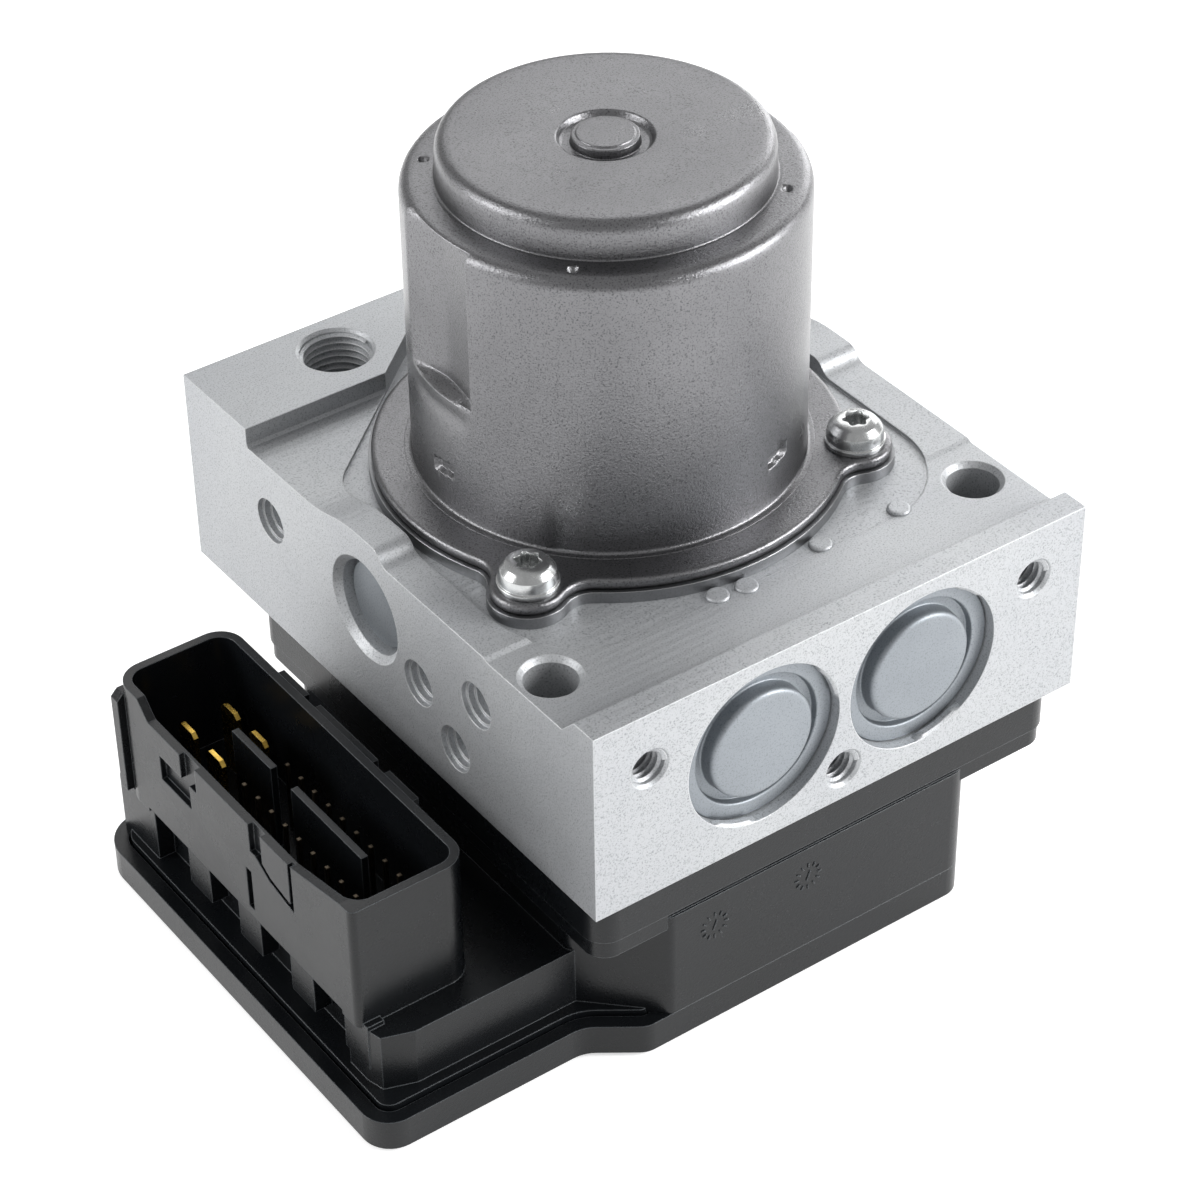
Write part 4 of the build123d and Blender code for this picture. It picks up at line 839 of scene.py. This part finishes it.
@dataclass
class MotorCan:
    """The drawn motor can: stepped dome, centre boss, pressed pockets, lances and foot."""

    rack: FinishRack
    turner: Turner
    foot_z: float = 69.9
    radius: float = 31.0
    wall: float = 1.6
    shoulder_z: float = 118.1
    dome_radius: float = 25.5
    dome_z: float = 124.1
    rim_z: float = 124.6
    pocket_near: float = -6.9
    pocket_crease: float = 1.6
    pocket_far: float = 9.7
    pocket_depth_x: float = 28.2
    pocket_near_x: float = 29.3
    pocket_foot_z: float = 91.0
    segments: int = 440
    flange_radius: float = 37.4
    flange_bore: float = 30.0
    flange_foot_z: float = 68.02
    ear_radius: float = 5.9
    ear_blend: float = 5.0
    shoulder_from: float = 25.6
    wall_from: float = 26.5
    skin_from: float = 29.0
    dent_depth: float = 0.8
    dent_edge: Pair = (0.8, 0.5)
    chin_depth: float = 0.35
    chin_drop: float = 3.0
    chin_middle: float = 0.6
    chin_height: float = 1.7
    chin_ends: Pair = (8.2, 4.0)
    lance_depth: float = 0.9
    lance_slope: float = 0.16
    lance_ends: Pair = (2.35, 2.1)
    lance_sides: Pair = (1.2, 0.95)
    lances: tuple[Pair, ...] = ((180.0, 77.1), (289.6, 78.2), (70.0, 77.4))
    dents: tuple[Pair, ...] = ((137.2, 27.5), (-48.7, 27.3), (-135.6, 28.0))

    def profile(self) -> list[Pair]:
        """Outer skin from the foot over the dome to the boss, then back along the inside."""
        outer = rounded_profile(
            [
                (32.3, self.foot_z - 0.5, 0),
                (32.2, self.foot_z + 0.04, 0.15),
                (self.radius, self.foot_z + 0.06, 0.9),
                (self.radius, self.shoulder_z, 2.7),
                (self.dome_radius + 0.7, self.shoulder_z + 0.25, 0.4),
                (self.dome_radius + 0.1, self.shoulder_z + 0.2, 0.3),
                (self.dome_radius - 0.1, self.rim_z, 2.4),
                (7.4, self.dome_z + 0.02, 0.5),
                (6.9, self.dome_z - 0.9, 0.3),
                (6.5, self.dome_z - 1.15, 0.3),
                (5.3, self.dome_z - 1.15, 0.2),
                (5.15, self.dome_z + 0.3, 0.25),
                (4.5, self.dome_z + 0.32, 0.1),
                (4.35, self.dome_z + 0.55, 0.15),
                (0.0, self.dome_z + 0.58, 0),
            ]
        )
        inner = [
            (0.0, 121.3),
            (5.7, 121.3),
            (5.7, 115.1),
            (7.3, 115.1),
            (7.3, 121.3),
            (self.dome_radius - self.wall, self.rim_z - self.wall),
            (self.dome_radius - self.wall, self.shoulder_z - self.wall),
            (self.radius - self.wall, self.shoulder_z - self.wall),
            (self.radius - self.wall, self.foot_z - 0.5),
            (32.3, self.foot_z - 0.5),
        ]
        bands = ((75.4, 79.8), (86.0, 92.2), (115.6, 118.6))
        return graded(outer, 1.9, 0.36, bands) + graded(inner, 6.0, 1.5, ((86.0, 118.6),))

    def pocket_floor(self, y: float) -> float:
        """Distance of the pocket's floor from the axis plane at a place across it.

        Args:
            y: The place.

        Returns:
            The distance along X.
        """
        if y <= self.pocket_crease:
            share = (y - self.pocket_near) / (self.pocket_crease - self.pocket_near)
            slope = self.pocket_depth_x - self.pocket_near_x
            return self.pocket_near_x + slope * ease(share, -0.2, 1.1)
        share = (y - self.pocket_crease) / (self.pocket_far - self.pocket_crease)
        outside = math.sqrt(self.radius**2 - self.pocket_far**2)
        return self.pocket_depth_x + (outside - self.pocket_depth_x) * ease(share, -0.1, 1.2)

    def pocketed(self, place: Vector, radius: float) -> float:
        """Pushes a point of the skin inwards where the two pockets and the chins under them are.

        Args:
            place: The point in millimetres.
            radius: Its distance from the axis.

        Returns:
            The point's new distance along X.
        """
        side = 1.0 if place.x > 0 else -1.0
        skin = self.radius - radius
        near = ease(place.y, self.pocket_near - 0.08, self.pocket_near + 0.3)
        far = ease(place.y, self.pocket_far + 0.1, self.pocket_far - 0.1)
        across = near * far
        drop = min(0.0, self.pocket_floor(place.y) - skin - abs(place.x))
        foot = ease(place.z, self.pocket_foot_z - 0.35, self.pocket_foot_z + 0.35)
        top = ease(place.z, self.shoulder_z - 0.15, self.shoulder_z - 0.75)
        below = (place.z - self.pocket_foot_z + self.chin_drop) / self.chin_height
        chin = math.exp(-(below**2)) * ease(abs(place.y - self.chin_middle), *self.chin_ends)
        return side * (abs(place.x) + drop * across * foot * top - self.chin_depth * chin * (1 - foot))

    def pressed(self, place: Vector) -> Vector:
        """Moves a point of the plain can to where the press tools leave it.

        Args:
            place: A point in millimetres.

        Returns:
            The moved point.
        """
        radius = math.hypot(place.x, place.y)
        moved = place.copy()
        if radius > self.shoulder_from and place.z > self.shoulder_z - 0.2:
            for angle, reach in self.dents:
                swing = math.radians(angle)
                dent = Vector((math.cos(swing) * reach, math.sin(swing) * reach))
                away = (Vector((place.x, place.y)) - dent).length
                moved.z -= self.dent_depth * ease(away, *self.dent_edge)
        if radius > self.wall_from and self.pocket_foot_z - 9 < place.z < self.shoulder_z + 1:
            moved.x = self.pocketed(place, radius)
        if radius > self.skin_from:
            for angle, height in self.lances:
                swing = math.radians(angle)
                along = -place.x * math.sin(swing) + place.y * math.cos(swing)
                ahead = place.x * math.cos(swing) + place.y * math.sin(swing)
                level = place.z - height - self.lance_slope * along
                if ahead > 0:
                    inside = ease(abs(along), *self.lance_ends) * ease(abs(level), *self.lance_sides)
                    moved.x -= math.cos(swing) * self.lance_depth * inside
                    moved.y -= math.sin(swing) * self.lance_depth * inside
        return moved

    def build(self) -> None:
        """Builds the can, presses its pockets, and sets the flange round its foot."""
        material = self.rack.get(DRAWN_STEEL)
        mesh = self.turner.turn("motor_can_shell", self.profile(), self.segments, material)
        for vertex in mesh.vertices:
            vertex.co = self.pressed(vertex.co / MM) * MM
        shell = new_piece("motor_can_shell", smooth(mesh, 38))
        flange = new_piece("motor_can_flange", self.flange(material))
        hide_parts("motor_can")
        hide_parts("motor_can")

    def flange(self, material: Material) -> Mesh:
        """The mounting flange with its three ears, rounded along both edges.

        Args:
            material: The finish.

        Returns:
            Its mesh.
        """
        outline = eared_outline(self.flange_radius, self.ear_radius, self.ear_blend)
        # How far each ring of the rounded edge stands in, and its height
        edge = (
            (0.6, self.flange_foot_z), (0.25, 68.15), (0.05, 68.5), (0.0, 69.3), (0.12, 69.65),
            (0.4, 69.86), (0.9, self.foot_z),
        )
        rings = [[(x, y, z) for x, y in inset_outline(outline, inset)] for inset, z in edge]
        for z in (self.foot_z, self.flange_foot_z):
            shares = [(x, y, self.flange_bore / math.hypot(x, y)) for x, y in outline]
            rings.append([(x * share, y * share, z) for x, y, share in shares])
        return smooth(lofted("motor_can_flange", [rings], material, looped=True), 50)


SCREW_PLACES = ((-31.9, -23.4), (29.9, -24.1), (0.0, 39.4))


def eared_outline(radius: float, ear: float, blend: float, steps: int = 720) -> list[Pair]:
    """Outline of a disc with an ear round each flange screw.

    Args:
        radius: The disc's radius in millimetres.
        ear: Radius of each ear.
        blend: Radius of the hollow blend between ear and disc.
        steps: Points round the outline.

    Returns:
        Points of the outline, anticlockwise.
    """
    points = []
    for k in range(steps):
        angle = 2 * math.pi * k / steps
        direction = Vector((math.cos(angle), math.sin(angle)))
        reach = radius
        for x, y in SCREW_PLACES:
            centre = Vector((x, y))
            away = centre.length
            offset = direction.angle(centre)
            # The blend circle touches the disc and the ear from outside
            a, b = radius + blend, ear + blend
            gap = math.acos(max(-1.0, min(1.0, (a * a + away * away - b * b) / (2 * a * away))))
            touch = away + (a * math.cos(gap) - away) * ear / b
            ear_angle = math.atan2(a * math.sin(gap) * ear / b, touch)
            if offset < ear_angle:
                along = away * math.cos(offset)
                reach = max(reach, along + math.sqrt(max(0.0, ear**2 - (away * math.sin(offset)) ** 2)))
            elif offset < gap:
                swing = gap - offset
                along = a * math.cos(swing)
                reach = max(reach, along - math.sqrt(max(0.0, blend**2 - (a * math.sin(swing)) ** 2)))
        points.append((direction.x * reach, direction.y * reach))
    return points


def inset_outline(outline: list[Pair], inset: float) -> list[Pair]:
    """Moves each point of a closed outline inwards along its normal.

    Args:
        outline: The outline, anticlockwise.
        inset: The distance.

    Returns:
        The smaller outline.
    """
    result = []
    count = len(outline)
    for i in range(count):
        x0, y0 = outline[i - 1]
        x1, y1 = outline[(i + 1) % count]
        normal = Vector((y1 - y0, x0 - x1)).normalized()
        result.append((outline[i][0] - normal.x * inset, outline[i][1] - normal.y * inset))
    return result


@dataclass
class Placer:
    """Sets copies of one mesh on points, each turned by the point's own angles."""

    tree: NodeTree = field(init=False)

    def __post_init__(self) -> None:
        """Builds the placing tree."""
        tree, given = open_tree(
            "placed_copies",
            {"Copy": ("NodeSocketObject", None), "Material": ("NodeSocketMaterial", None)},
        )
        copy = add_node(
            tree, "GeometryNodeObjectInfo", {"As Instance": False, "Object": given.outputs["Copy"]}
        )
        turn = add_node(
            tree, "GeometryNodeInputNamedAttribute", {"Name": "turn"}, data_type="FLOAT_VECTOR"
        )
        spread = add_node(
            tree, "GeometryNodeInstanceOnPoints",
            {
                "Points": given.outputs["Geometry"], "Instance": copy.outputs["Geometry"],
                "Rotation": turn.outputs["Attribute"],
            },
        )
        close_tree(tree, spread.outputs[0], given.outputs["Material"])
        self.tree = tree

    def place(
        self,
        name: str,
        mesh: Mesh,
        places: list[tuple[Point, Point]],
        material: Material,
    ) -> Mesh:
        """Places copies of a mesh.

        Args:
            name: Name for the result.
            mesh: The mesh that is copied, drawn round the origin in metres.
            places: Position in millimetres and turn in degrees of each copy.
            material: The finish.

        Returns:
            One mesh with every copy.
        """
        base = bpy.data.meshes.new(name + "_places")
        base.from_pydata([tuple(c * MM for c in position) for position, _ in places], [], [])
        turns = base.attributes.new("turn", "FLOAT_VECTOR", "POINT")
        for item, (_, turn) in zip(turns.data, places):
            item.vector = tuple(math.radians(a) for a in turn)
        holder = bpy.data.objects.new(name + "_copy", mesh)
        bpy.context.scene.collection.objects.link(holder)
        result = grown_mesh(name, self.tree, {"Copy": holder, "Material": material}, base)
        bpy.data.objects.remove(holder)
        return result


@dataclass
class ThreadCutter:
    """Winds the crests of a thread as a triangular coil."""

    crest_share: float = 0.45
    tree: NodeTree = field(init=False)

    def __post_init__(self) -> None:
        """Builds the winding tree: a spiral swept with a three-sided profile."""
        tree, given = open_tree(
            "thread_coil",
            {
                "Radius": ("NodeSocketFloat", 0.005),
                "Turns": ("NodeSocketFloat", 8.0),
                "Pitch": ("NodeSocketFloat", 0.001),
                "Crest": ("NodeSocketFloat", 0.0005),
                "Material": ("NodeSocketMaterial", None),
            },
        )
        height = add_node(
            tree, "ShaderNodeMath",
            {0: given.outputs["Turns"], 1: given.outputs["Pitch"]}, operation="MULTIPLY",
        )
        spiral = add_node(
            tree, "GeometryNodeCurveSpiral",
            {
                "Resolution": 40, "Rotations": given.outputs["Turns"],
                "Start Radius": given.outputs["Radius"], "End Radius": given.outputs["Radius"],
                "Height": height,
            },
        )
        upright = add_node(tree, "GeometryNodeSetCurveNormal", {"Curve": spiral}, mode="Z_UP")
        crest = add_node(
            tree, "GeometryNodeCurvePrimitiveCircle", {"Resolution": 3, "Radius": given.outputs["Crest"]}
        )
        coil = add_node(
            tree, "GeometryNodeCurveToMesh",
            {"Fill Caps": True, "Curve": upright, "Profile Curve": crest},
        )
        close_tree(tree, coil.outputs[0], given.outputs["Material"])
        self.tree = tree

    def coil(
        self, name: str, radius: float, depth: float, pitch: float, material: Material
    ) -> Mesh:
        """Winds one thread of a radius and depth in millimetres, upwards from the origin.

        Args:
            name: Name for the mesh.
            radius: Radius of the thread's crests.
            depth: Its length.
            pitch: Distance between its turns.
            material: The finish.

        Returns:
            The wound mesh.
        """
        values = {
            "Radius": radius * MM,
            "Turns": depth / pitch,
            "Pitch": pitch * MM,
            "Crest": self.crest_share * pitch * MM,
            "Material": material,
        }
        return grown_mesh(name, self.tree, values)


@dataclass
class ThreadedHoles:
    """Threads of the inlet ports, outlet ports and fixing holes of the block."""

    rack: FinishRack
    cutter: ThreadCutter
    placer: Placer
    inlets: tuple[Pair, ...] = ((-21.5, 45.9), (24.1, 45.9))
    inlet_mouth_z: float = 70.1
    fixings: tuple[Pair, ...] = ((-35.1, 59.0), (1.3, 40.4), (37.9, 59.9))
    front_y: float = -58.1
    outlets: tuple[float, ...] = (-30.2, -9.2, 11.8, 32.8)
    outlet_z: float = 50.5
    back_y: float = 54.6
    inlet_run: float = 13.4
    fixing_inset: float = 0.6
    outlet_inset: float = 0.8

    def build(self) -> None:
        """Winds and sets the three kinds of thread."""
        material = self.rack.get(BLASTED_ALUMINIUM)
        inlets = [((x, y, self.inlet_mouth_z - self.inlet_run), (0, 0, 0)) for x, y in self.inlets]
        fixings = [((x, self.front_y + self.fixing_inset, z), (-90, 0, 0)) for x, z in self.fixings]
        outlet_y = self.back_y - self.outlet_inset
        outlets = [((x, outlet_y, self.outlet_z), (90, 0, 0)) for x in self.outlets]
        # Name, radius, depth, pitch and places of each kind
        kinds = (
            ("inlet_threads", 5.95, 12.5, 1.25, inlets),
            ("fixing_threads", 2.95, 9.6, 1.1, fixings),
            ("outlet_threads", 4.95, 10.6, 1.1, outlets),
        )
        for name, radius, depth, pitch, places in kinds:
            coil = self.cutter.coil(name + "_coil", radius, depth, pitch, material)
            mesh = self.placer.place(name, coil, places, material)
            new_piece(name, smooth(mesh, 30))


@dataclass
class FlangeScrews:
    """Button-head screws with a star recess that hold the motor flange."""

    rack: FinishRack
    placer: Placer
    seat_z: float = 69.9
    shank_foot_z: float = 56.0
    shank_radius: float = 2.5
    washer_radius: float = 4.85
    head_radius: float = 4.55
    head_height: float = 4.25
    recess_radius: float = 2.1
    recess_depth: float = 2.5
    segments: int = 96
    star_points: int = 6
    star_depth: float = 0.24
    turns: tuple[float, ...] = (12.0, 34.0, 5.0)

    def profile(self) -> list[Point]:
        """Radius, height and share of the star shape from the shank to the recess floor."""
        plain = rounded_profile(
            [
                (0.0, self.shank_foot_z - self.seat_z, 0),
                (self.shank_radius, self.shank_foot_z - self.seat_z, 0.4),
                (self.shank_radius, 0.02, 0),
                (self.washer_radius, 0.02, 0.15),
                (self.washer_radius, 0.85, 0.3),
                (self.head_radius, 0.95, 0.1),
                (self.head_radius, 1.7, 0),
                (self.head_radius - 0.25, 2.75, 0.6),
                (self.head_radius - 1.1, 3.75, 0.8),
                (self.recess_radius + 0.35, self.head_height, 0.5),
            ],
            4,
        )
        star = [
            (self.recess_radius + 0.1, self.head_height - 0.02, 1.0),
            (self.recess_radius, self.head_height - 0.2, 1.0),
            (self.recess_radius - 0.05, self.head_height - self.recess_depth, 1.0),
            (0.0, self.head_height - self.recess_depth - 0.35, 0.0),
        ]
        return [(r, z, 0.0) for r, z in plain] + star

    def build(self) -> None:
        """Turns one screw with its star recess and sets the three copies."""
        material = self.rack.get(BRIGHT_ZINC)
        rings = []
        for radius, z, star in self.profile():
            ring = []
            for k in range(self.segments):
                angle = 2 * math.pi * k / self.segments
                waist = self.star_depth * star * (1 - math.cos(self.star_points * angle)) / 2
                reach = radius * (1 - waist)
                ring.append((math.cos(angle) * reach, math.sin(angle) * reach, z))
            rings.append(ring)
        mesh = lofted("flange_screw", [rings], material)
        places = [((x, y, self.seat_z), (0, 0, turn)) for (x, y), turn in zip(SCREW_PLACES, self.turns)]
        placed = self.placer.place("flange_screws", mesh, places, material)
        screws = new_piece("flange_screws", smooth(placed, 32))
        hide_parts("motor_screws")


@dataclass
class AccumulatorCaps:
    """Pressed caps of the two accumulators, and the stakes that hold them in the block."""

    rack: FinishRack
    turner: Turner
    face_y: float = -58.1
    centre_z: float = 52.6
    centres: tuple[tuple[str, float], ...] = (("left", -14.05), ("right", 16.25))
    segments: int = 160
    recess_radius: float = 14.35
    lip_radius: float = 14.05
    lip_reach: float = 0.5
    stake_steps: int = 24
    stake_taper: float = 6.0
    stakes: tuple[Point, ...] = (
        (-14.05, 27.0, 40.0),
        (-14.05, -113.0, 36.0),
        (16.25, -73.0, 38.0),
        (16.25, 52.0, 30.0),
    )

    def profile(self) -> list[Pair]:
        """Radius and height over the block's front face, from the disc's middle outwards and back."""
        front = rounded_profile(
            [
                (0.0, -0.4, 0),
                (9.45, -0.4, 1.0),
                (9.5, -3.2, 0.3),
                (11.2, -3.2, 0.3),
                (11.3, -1.9, 0.4),
                (13.9, -1.9, 0.25),
                (14.1, -2.2, 0.15),
                (14.1, -3.5, 0),
            ],
            8,
        )
        back = [(12.35, -3.5), (12.35, -4.3), (8.5, -4.3), (8.5, -1.6), (0.0, -1.6), (0.0, -0.4)]
        return subdivided(front + back, 1.2)

    def build(self) -> None:
        """Turns both caps and sets the stakes round them."""
        material = self.rack.get(CAP_STEEL)
        for side, x in self.centres:
            mesh = self.turner.turn("accumulator_cap_" + side, self.profile(), self.segments, material)
            for vertex in mesh.vertices:
                px, py, pz = vertex.co
                vertex.co = (px + x * MM, self.face_y * MM - pz, py + self.centre_z * MM)
            outward(mesh)
            piece = new_piece("pressed_cap_" + side, smooth(mesh, 30))
            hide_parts("accumulator_cap_" + side)
        self.build_stakes()

    def build_stakes(self) -> None:
        """Sets the lips where the block's rim is staked inwards over the caps."""
        shells = []
        steps = self.stake_steps
        for x, middle, sweep in self.stakes:
            rings = []
            for k in range(steps + 1):
                angle = math.radians(middle + sweep * (k / steps - 0.5))
                taper = min(1.0, self.stake_taper * k / steps, self.stake_taper * (steps - k) / steps)
                lip = self.lip_radius - self.lip_reach * taper
                rim = self.recess_radius
                # Radius and height of the lip's section, counted from the block's face
                section = (
                    (lip, -0.95), (lip + 0.15, -0.3), (14.1, -0.03), (rim, -0.03), (rim, -1.2),
                    (lip + 0.1, -1.3),
                )
                rings.append(
                    [
                        (x + math.cos(angle) * r, self.face_y - h, self.centre_z + math.sin(angle) * r)
                        for r, h in section
                    ]
                )
            shells.append(rings)
        mesh = lofted("cap_stakes", shells, self.rack.get(BLASTED_ALUMINIUM), capped=True)
        new_piece("cap_stakes", smooth(mesh, 30))


@dataclass
class DateDials:
    """Two moulded tick dials on the front wall of the housing, without figures."""

    rack: FinishRack
    placer: Placer
    wall_y: float = -57.1
    places: tuple[Pair, ...] = ((-22.3, 20.4), (-4.2, 20.7))
    radius: float = 2.2
    ticks: int = 12
    tick_size: Point = (0.28, 0.3, 0.75)
    tick_edge: float = 0.05
    stand_off: float = 0.02
    pointer: tuple[float, ...] = (-0.5, 0.1, 0.7)
    pointer_turn: float = 20.0

    def build(self) -> None:
        """Sets the ticks and pointer of each dial."""
        material = self.rack.get(MOULDED_POLYESTER)
        tick = bpy.data.meshes.new("dial_tick")
        work = bmesh.new()
        bmesh.ops.create_cube(work, size=1.0)
        bmesh.ops.scale(work, vec=[length * MM for length in self.tick_size], verts=work.verts)
        edges = work.edges[:]
        bmesh.ops.bevel(work, geom=edges, offset=self.tick_edge * MM, segments=1, affect="EDGES")
        work.to_mesh(tick)
        work.free()
        tick.materials.append(material)
        spots = []
        face_y = self.wall_y - self.stand_off
        for x, z in self.places:
            for k in range(self.ticks):
                turn = 360 * k / self.ticks
                east = math.sin(math.radians(turn)) * self.radius
                north = math.cos(math.radians(turn)) * self.radius
                spots.append(((x + east, face_y, z + north), (0, turn, 0)))
            for reach in self.pointer:
                spots.append(((x + 0.35 * reach, face_y, z + 0.9 * reach), (0, self.pointer_turn, 0)))
        mesh = self.placer.place("date_dials", tick, spots, material)
        new_piece("date_dials", smooth(mesh, 30))


@dataclass
class Studio:
    """Pale floor, soft lights, and the camera at the photograph's viewing angle."""

    camera_place: Point = (-265.9, -371.3, 392.1)
    azimuth: float = -35.375
    elevation: float = 37.85
    roll: float = -0.863
    lens: float = 106.8
    aim: Point = (0, 0, 0.05)
    floor_half: float = 4.0

    def add_camera(self) -> None:
        """Sets the camera."""
        a, e, r = (math.radians(v) for v in (self.azimuth, self.elevation, self.roll))
        back = Vector((math.sin(a) * math.cos(e), -math.cos(a) * math.cos(e), math.sin(e)))
        right = (-back).cross(Vector((0, 0, 1))).normalized()
        up = right.cross(-back)
        right, up = right * math.cos(r) + up * math.sin(r), up * math.cos(r) - right * math.sin(r)
        data = bpy.data.cameras.new("camera")
        data.sensor_width = 36.0
        data.lens = self.lens
        data.clip_start, data.clip_end = 0.01, 20.0
        camera = bpy.data.objects.new("camera", data)
        rotation = Matrix((right, up, back)).transposed()
        camera.matrix_world = Matrix.Translation(Vector(self.camera_place) * MM) @ rotation.to_4x4()
        bpy.context.scene.collection.objects.link(camera)
        bpy.context.scene.camera = camera

    def add_light(self, name: str, place: Point, size: float, watts: float) -> None:
        """Adds one square soft light that looks at the object's middle.

        Args:
            name: Name of the light.
            place: Where it stands, in metres.
            size: Length of its side in metres.
            watts: Its power.
        """
        data = bpy.data.lights.new(name, "AREA")
        data.shape = "SQUARE"
        data.size = size
        data.energy = watts
        lamp = bpy.data.objects.new(name, data)
        lamp.location = place
        lamp.rotation_mode = "QUATERNION"
        lamp.rotation_quaternion = (Vector(place) - Vector(self.aim)).to_track_quat("Z", "Y")
        bpy.context.scene.collection.objects.link(lamp)

    @staticmethod
    def shown_white(tree: NodeTree, ray: str) -> Node:
        """Gives 1 on camera rays and on one other kind of ray, and 0 on the rest.

        Args:
            tree: The tree.
            ray: Output of the Light Path node for the other kind.

        Returns:
            The node that gives the 1 or 0.
        """
        path = add_node(tree, "ShaderNodeLightPath")
        rays = {0: path.outputs["Is Camera Ray"], 1: path.outputs[ray]}
        return add_node(tree, "ShaderNodeMath", rays, operation="MAXIMUM")

    def add_floor(self) -> None:
        """Adds the pale floor, which shows white to the camera and in reflections."""
        mesh = bpy.data.meshes.new("floor")
        half = self.floor_half
        corners = [(-half, -half, 0), (half, -half, 0), (half, half, 0), (-half, half, 0)]
        mesh.from_pydata(corners, [], [(0, 1, 2, 3)])
        floor = bpy.data.objects.new("floor", mesh)
        bpy.context.scene.collection.objects.link(floor)
        material = bpy.data.materials.new("studio_floor")
        material.use_nodes = True
        tree = material.node_tree
        tree.nodes.clear()
        matt = add_node(tree, "ShaderNodeBsdfDiffuse", {"Color": linear("f4f4f4")})
        glow = add_node(tree, "ShaderNodeEmission", {"Color": (1, 1, 1, 1), "Strength": 0.55})
        seen = self.shown_white(tree, "Is Glossy Ray")
        both = add_node(tree, "ShaderNodeAddShader", {0: matt, 1: glow})
        mix = add_node(tree, "ShaderNodeMixShader", {0: seen, 1: matt, 2: both})
        add_node(tree, "ShaderNodeOutputMaterial", {"Surface": mix})
        mesh.materials.append(material)

    def add_world(self) -> None:
        """Adds surroundings that are white to the camera and dimmer as light and in reflections."""
        world = bpy.data.worlds.new("studio")
        bpy.context.scene.world = world
        world.use_nodes = True
        tree = world.node_tree
        tree.nodes.clear()
        seen = self.shown_white(tree, "Is Transmission Ray")
        strength = add_node(tree, "ShaderNodeMapRange", {"To Min": 0.47, "To Max": 1.0, "Value": seen})
        sky = add_node(tree, "ShaderNodeBackground", {"Color": (1, 1, 1, 1), "Strength": strength})
        add_node(tree, "ShaderNodeOutputWorld", {"Surface": sky})

    def build(self) -> None:
        """Sets up the whole studio."""
        self.add_camera()
        self.add_floor()
        self.add_world()
        self.add_light("key_right", (0.88, -0.85, 0.55), 0.6, 18.5)
        self.add_light("rim_right", (0.95, 0.45, 0.35), 0.5, 3.5)
        self.add_light("fill_left", (-0.9, 0.4, 0.5), 0.5, 5.5)
        self.add_light("sky_back", (0.7, 0.98, 1.05), 0.9, 3.8)


def main() -> None:
    """Builds the scene in order."""
    logging.basicConfig(level=logging.INFO, format="%(message)s")
    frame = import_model()
    scene = bpy.context.scene
    scene.view_settings.view_transform = "Standard"
    rack = FinishRack()
    turner = Turner()
    Studio().build()
    rack.dress_nodes(frame)
    placer = Placer()
    MotorCan(rack, turner).build()
    FlangeScrews(rack, placer).build()
    AccumulatorCaps(rack, turner).build()
    ThreadedHoles(rack, ThreadCutter(), placer).build()
    DateDials(rack, placer).build()


if __name__ == "__main__":
    main()
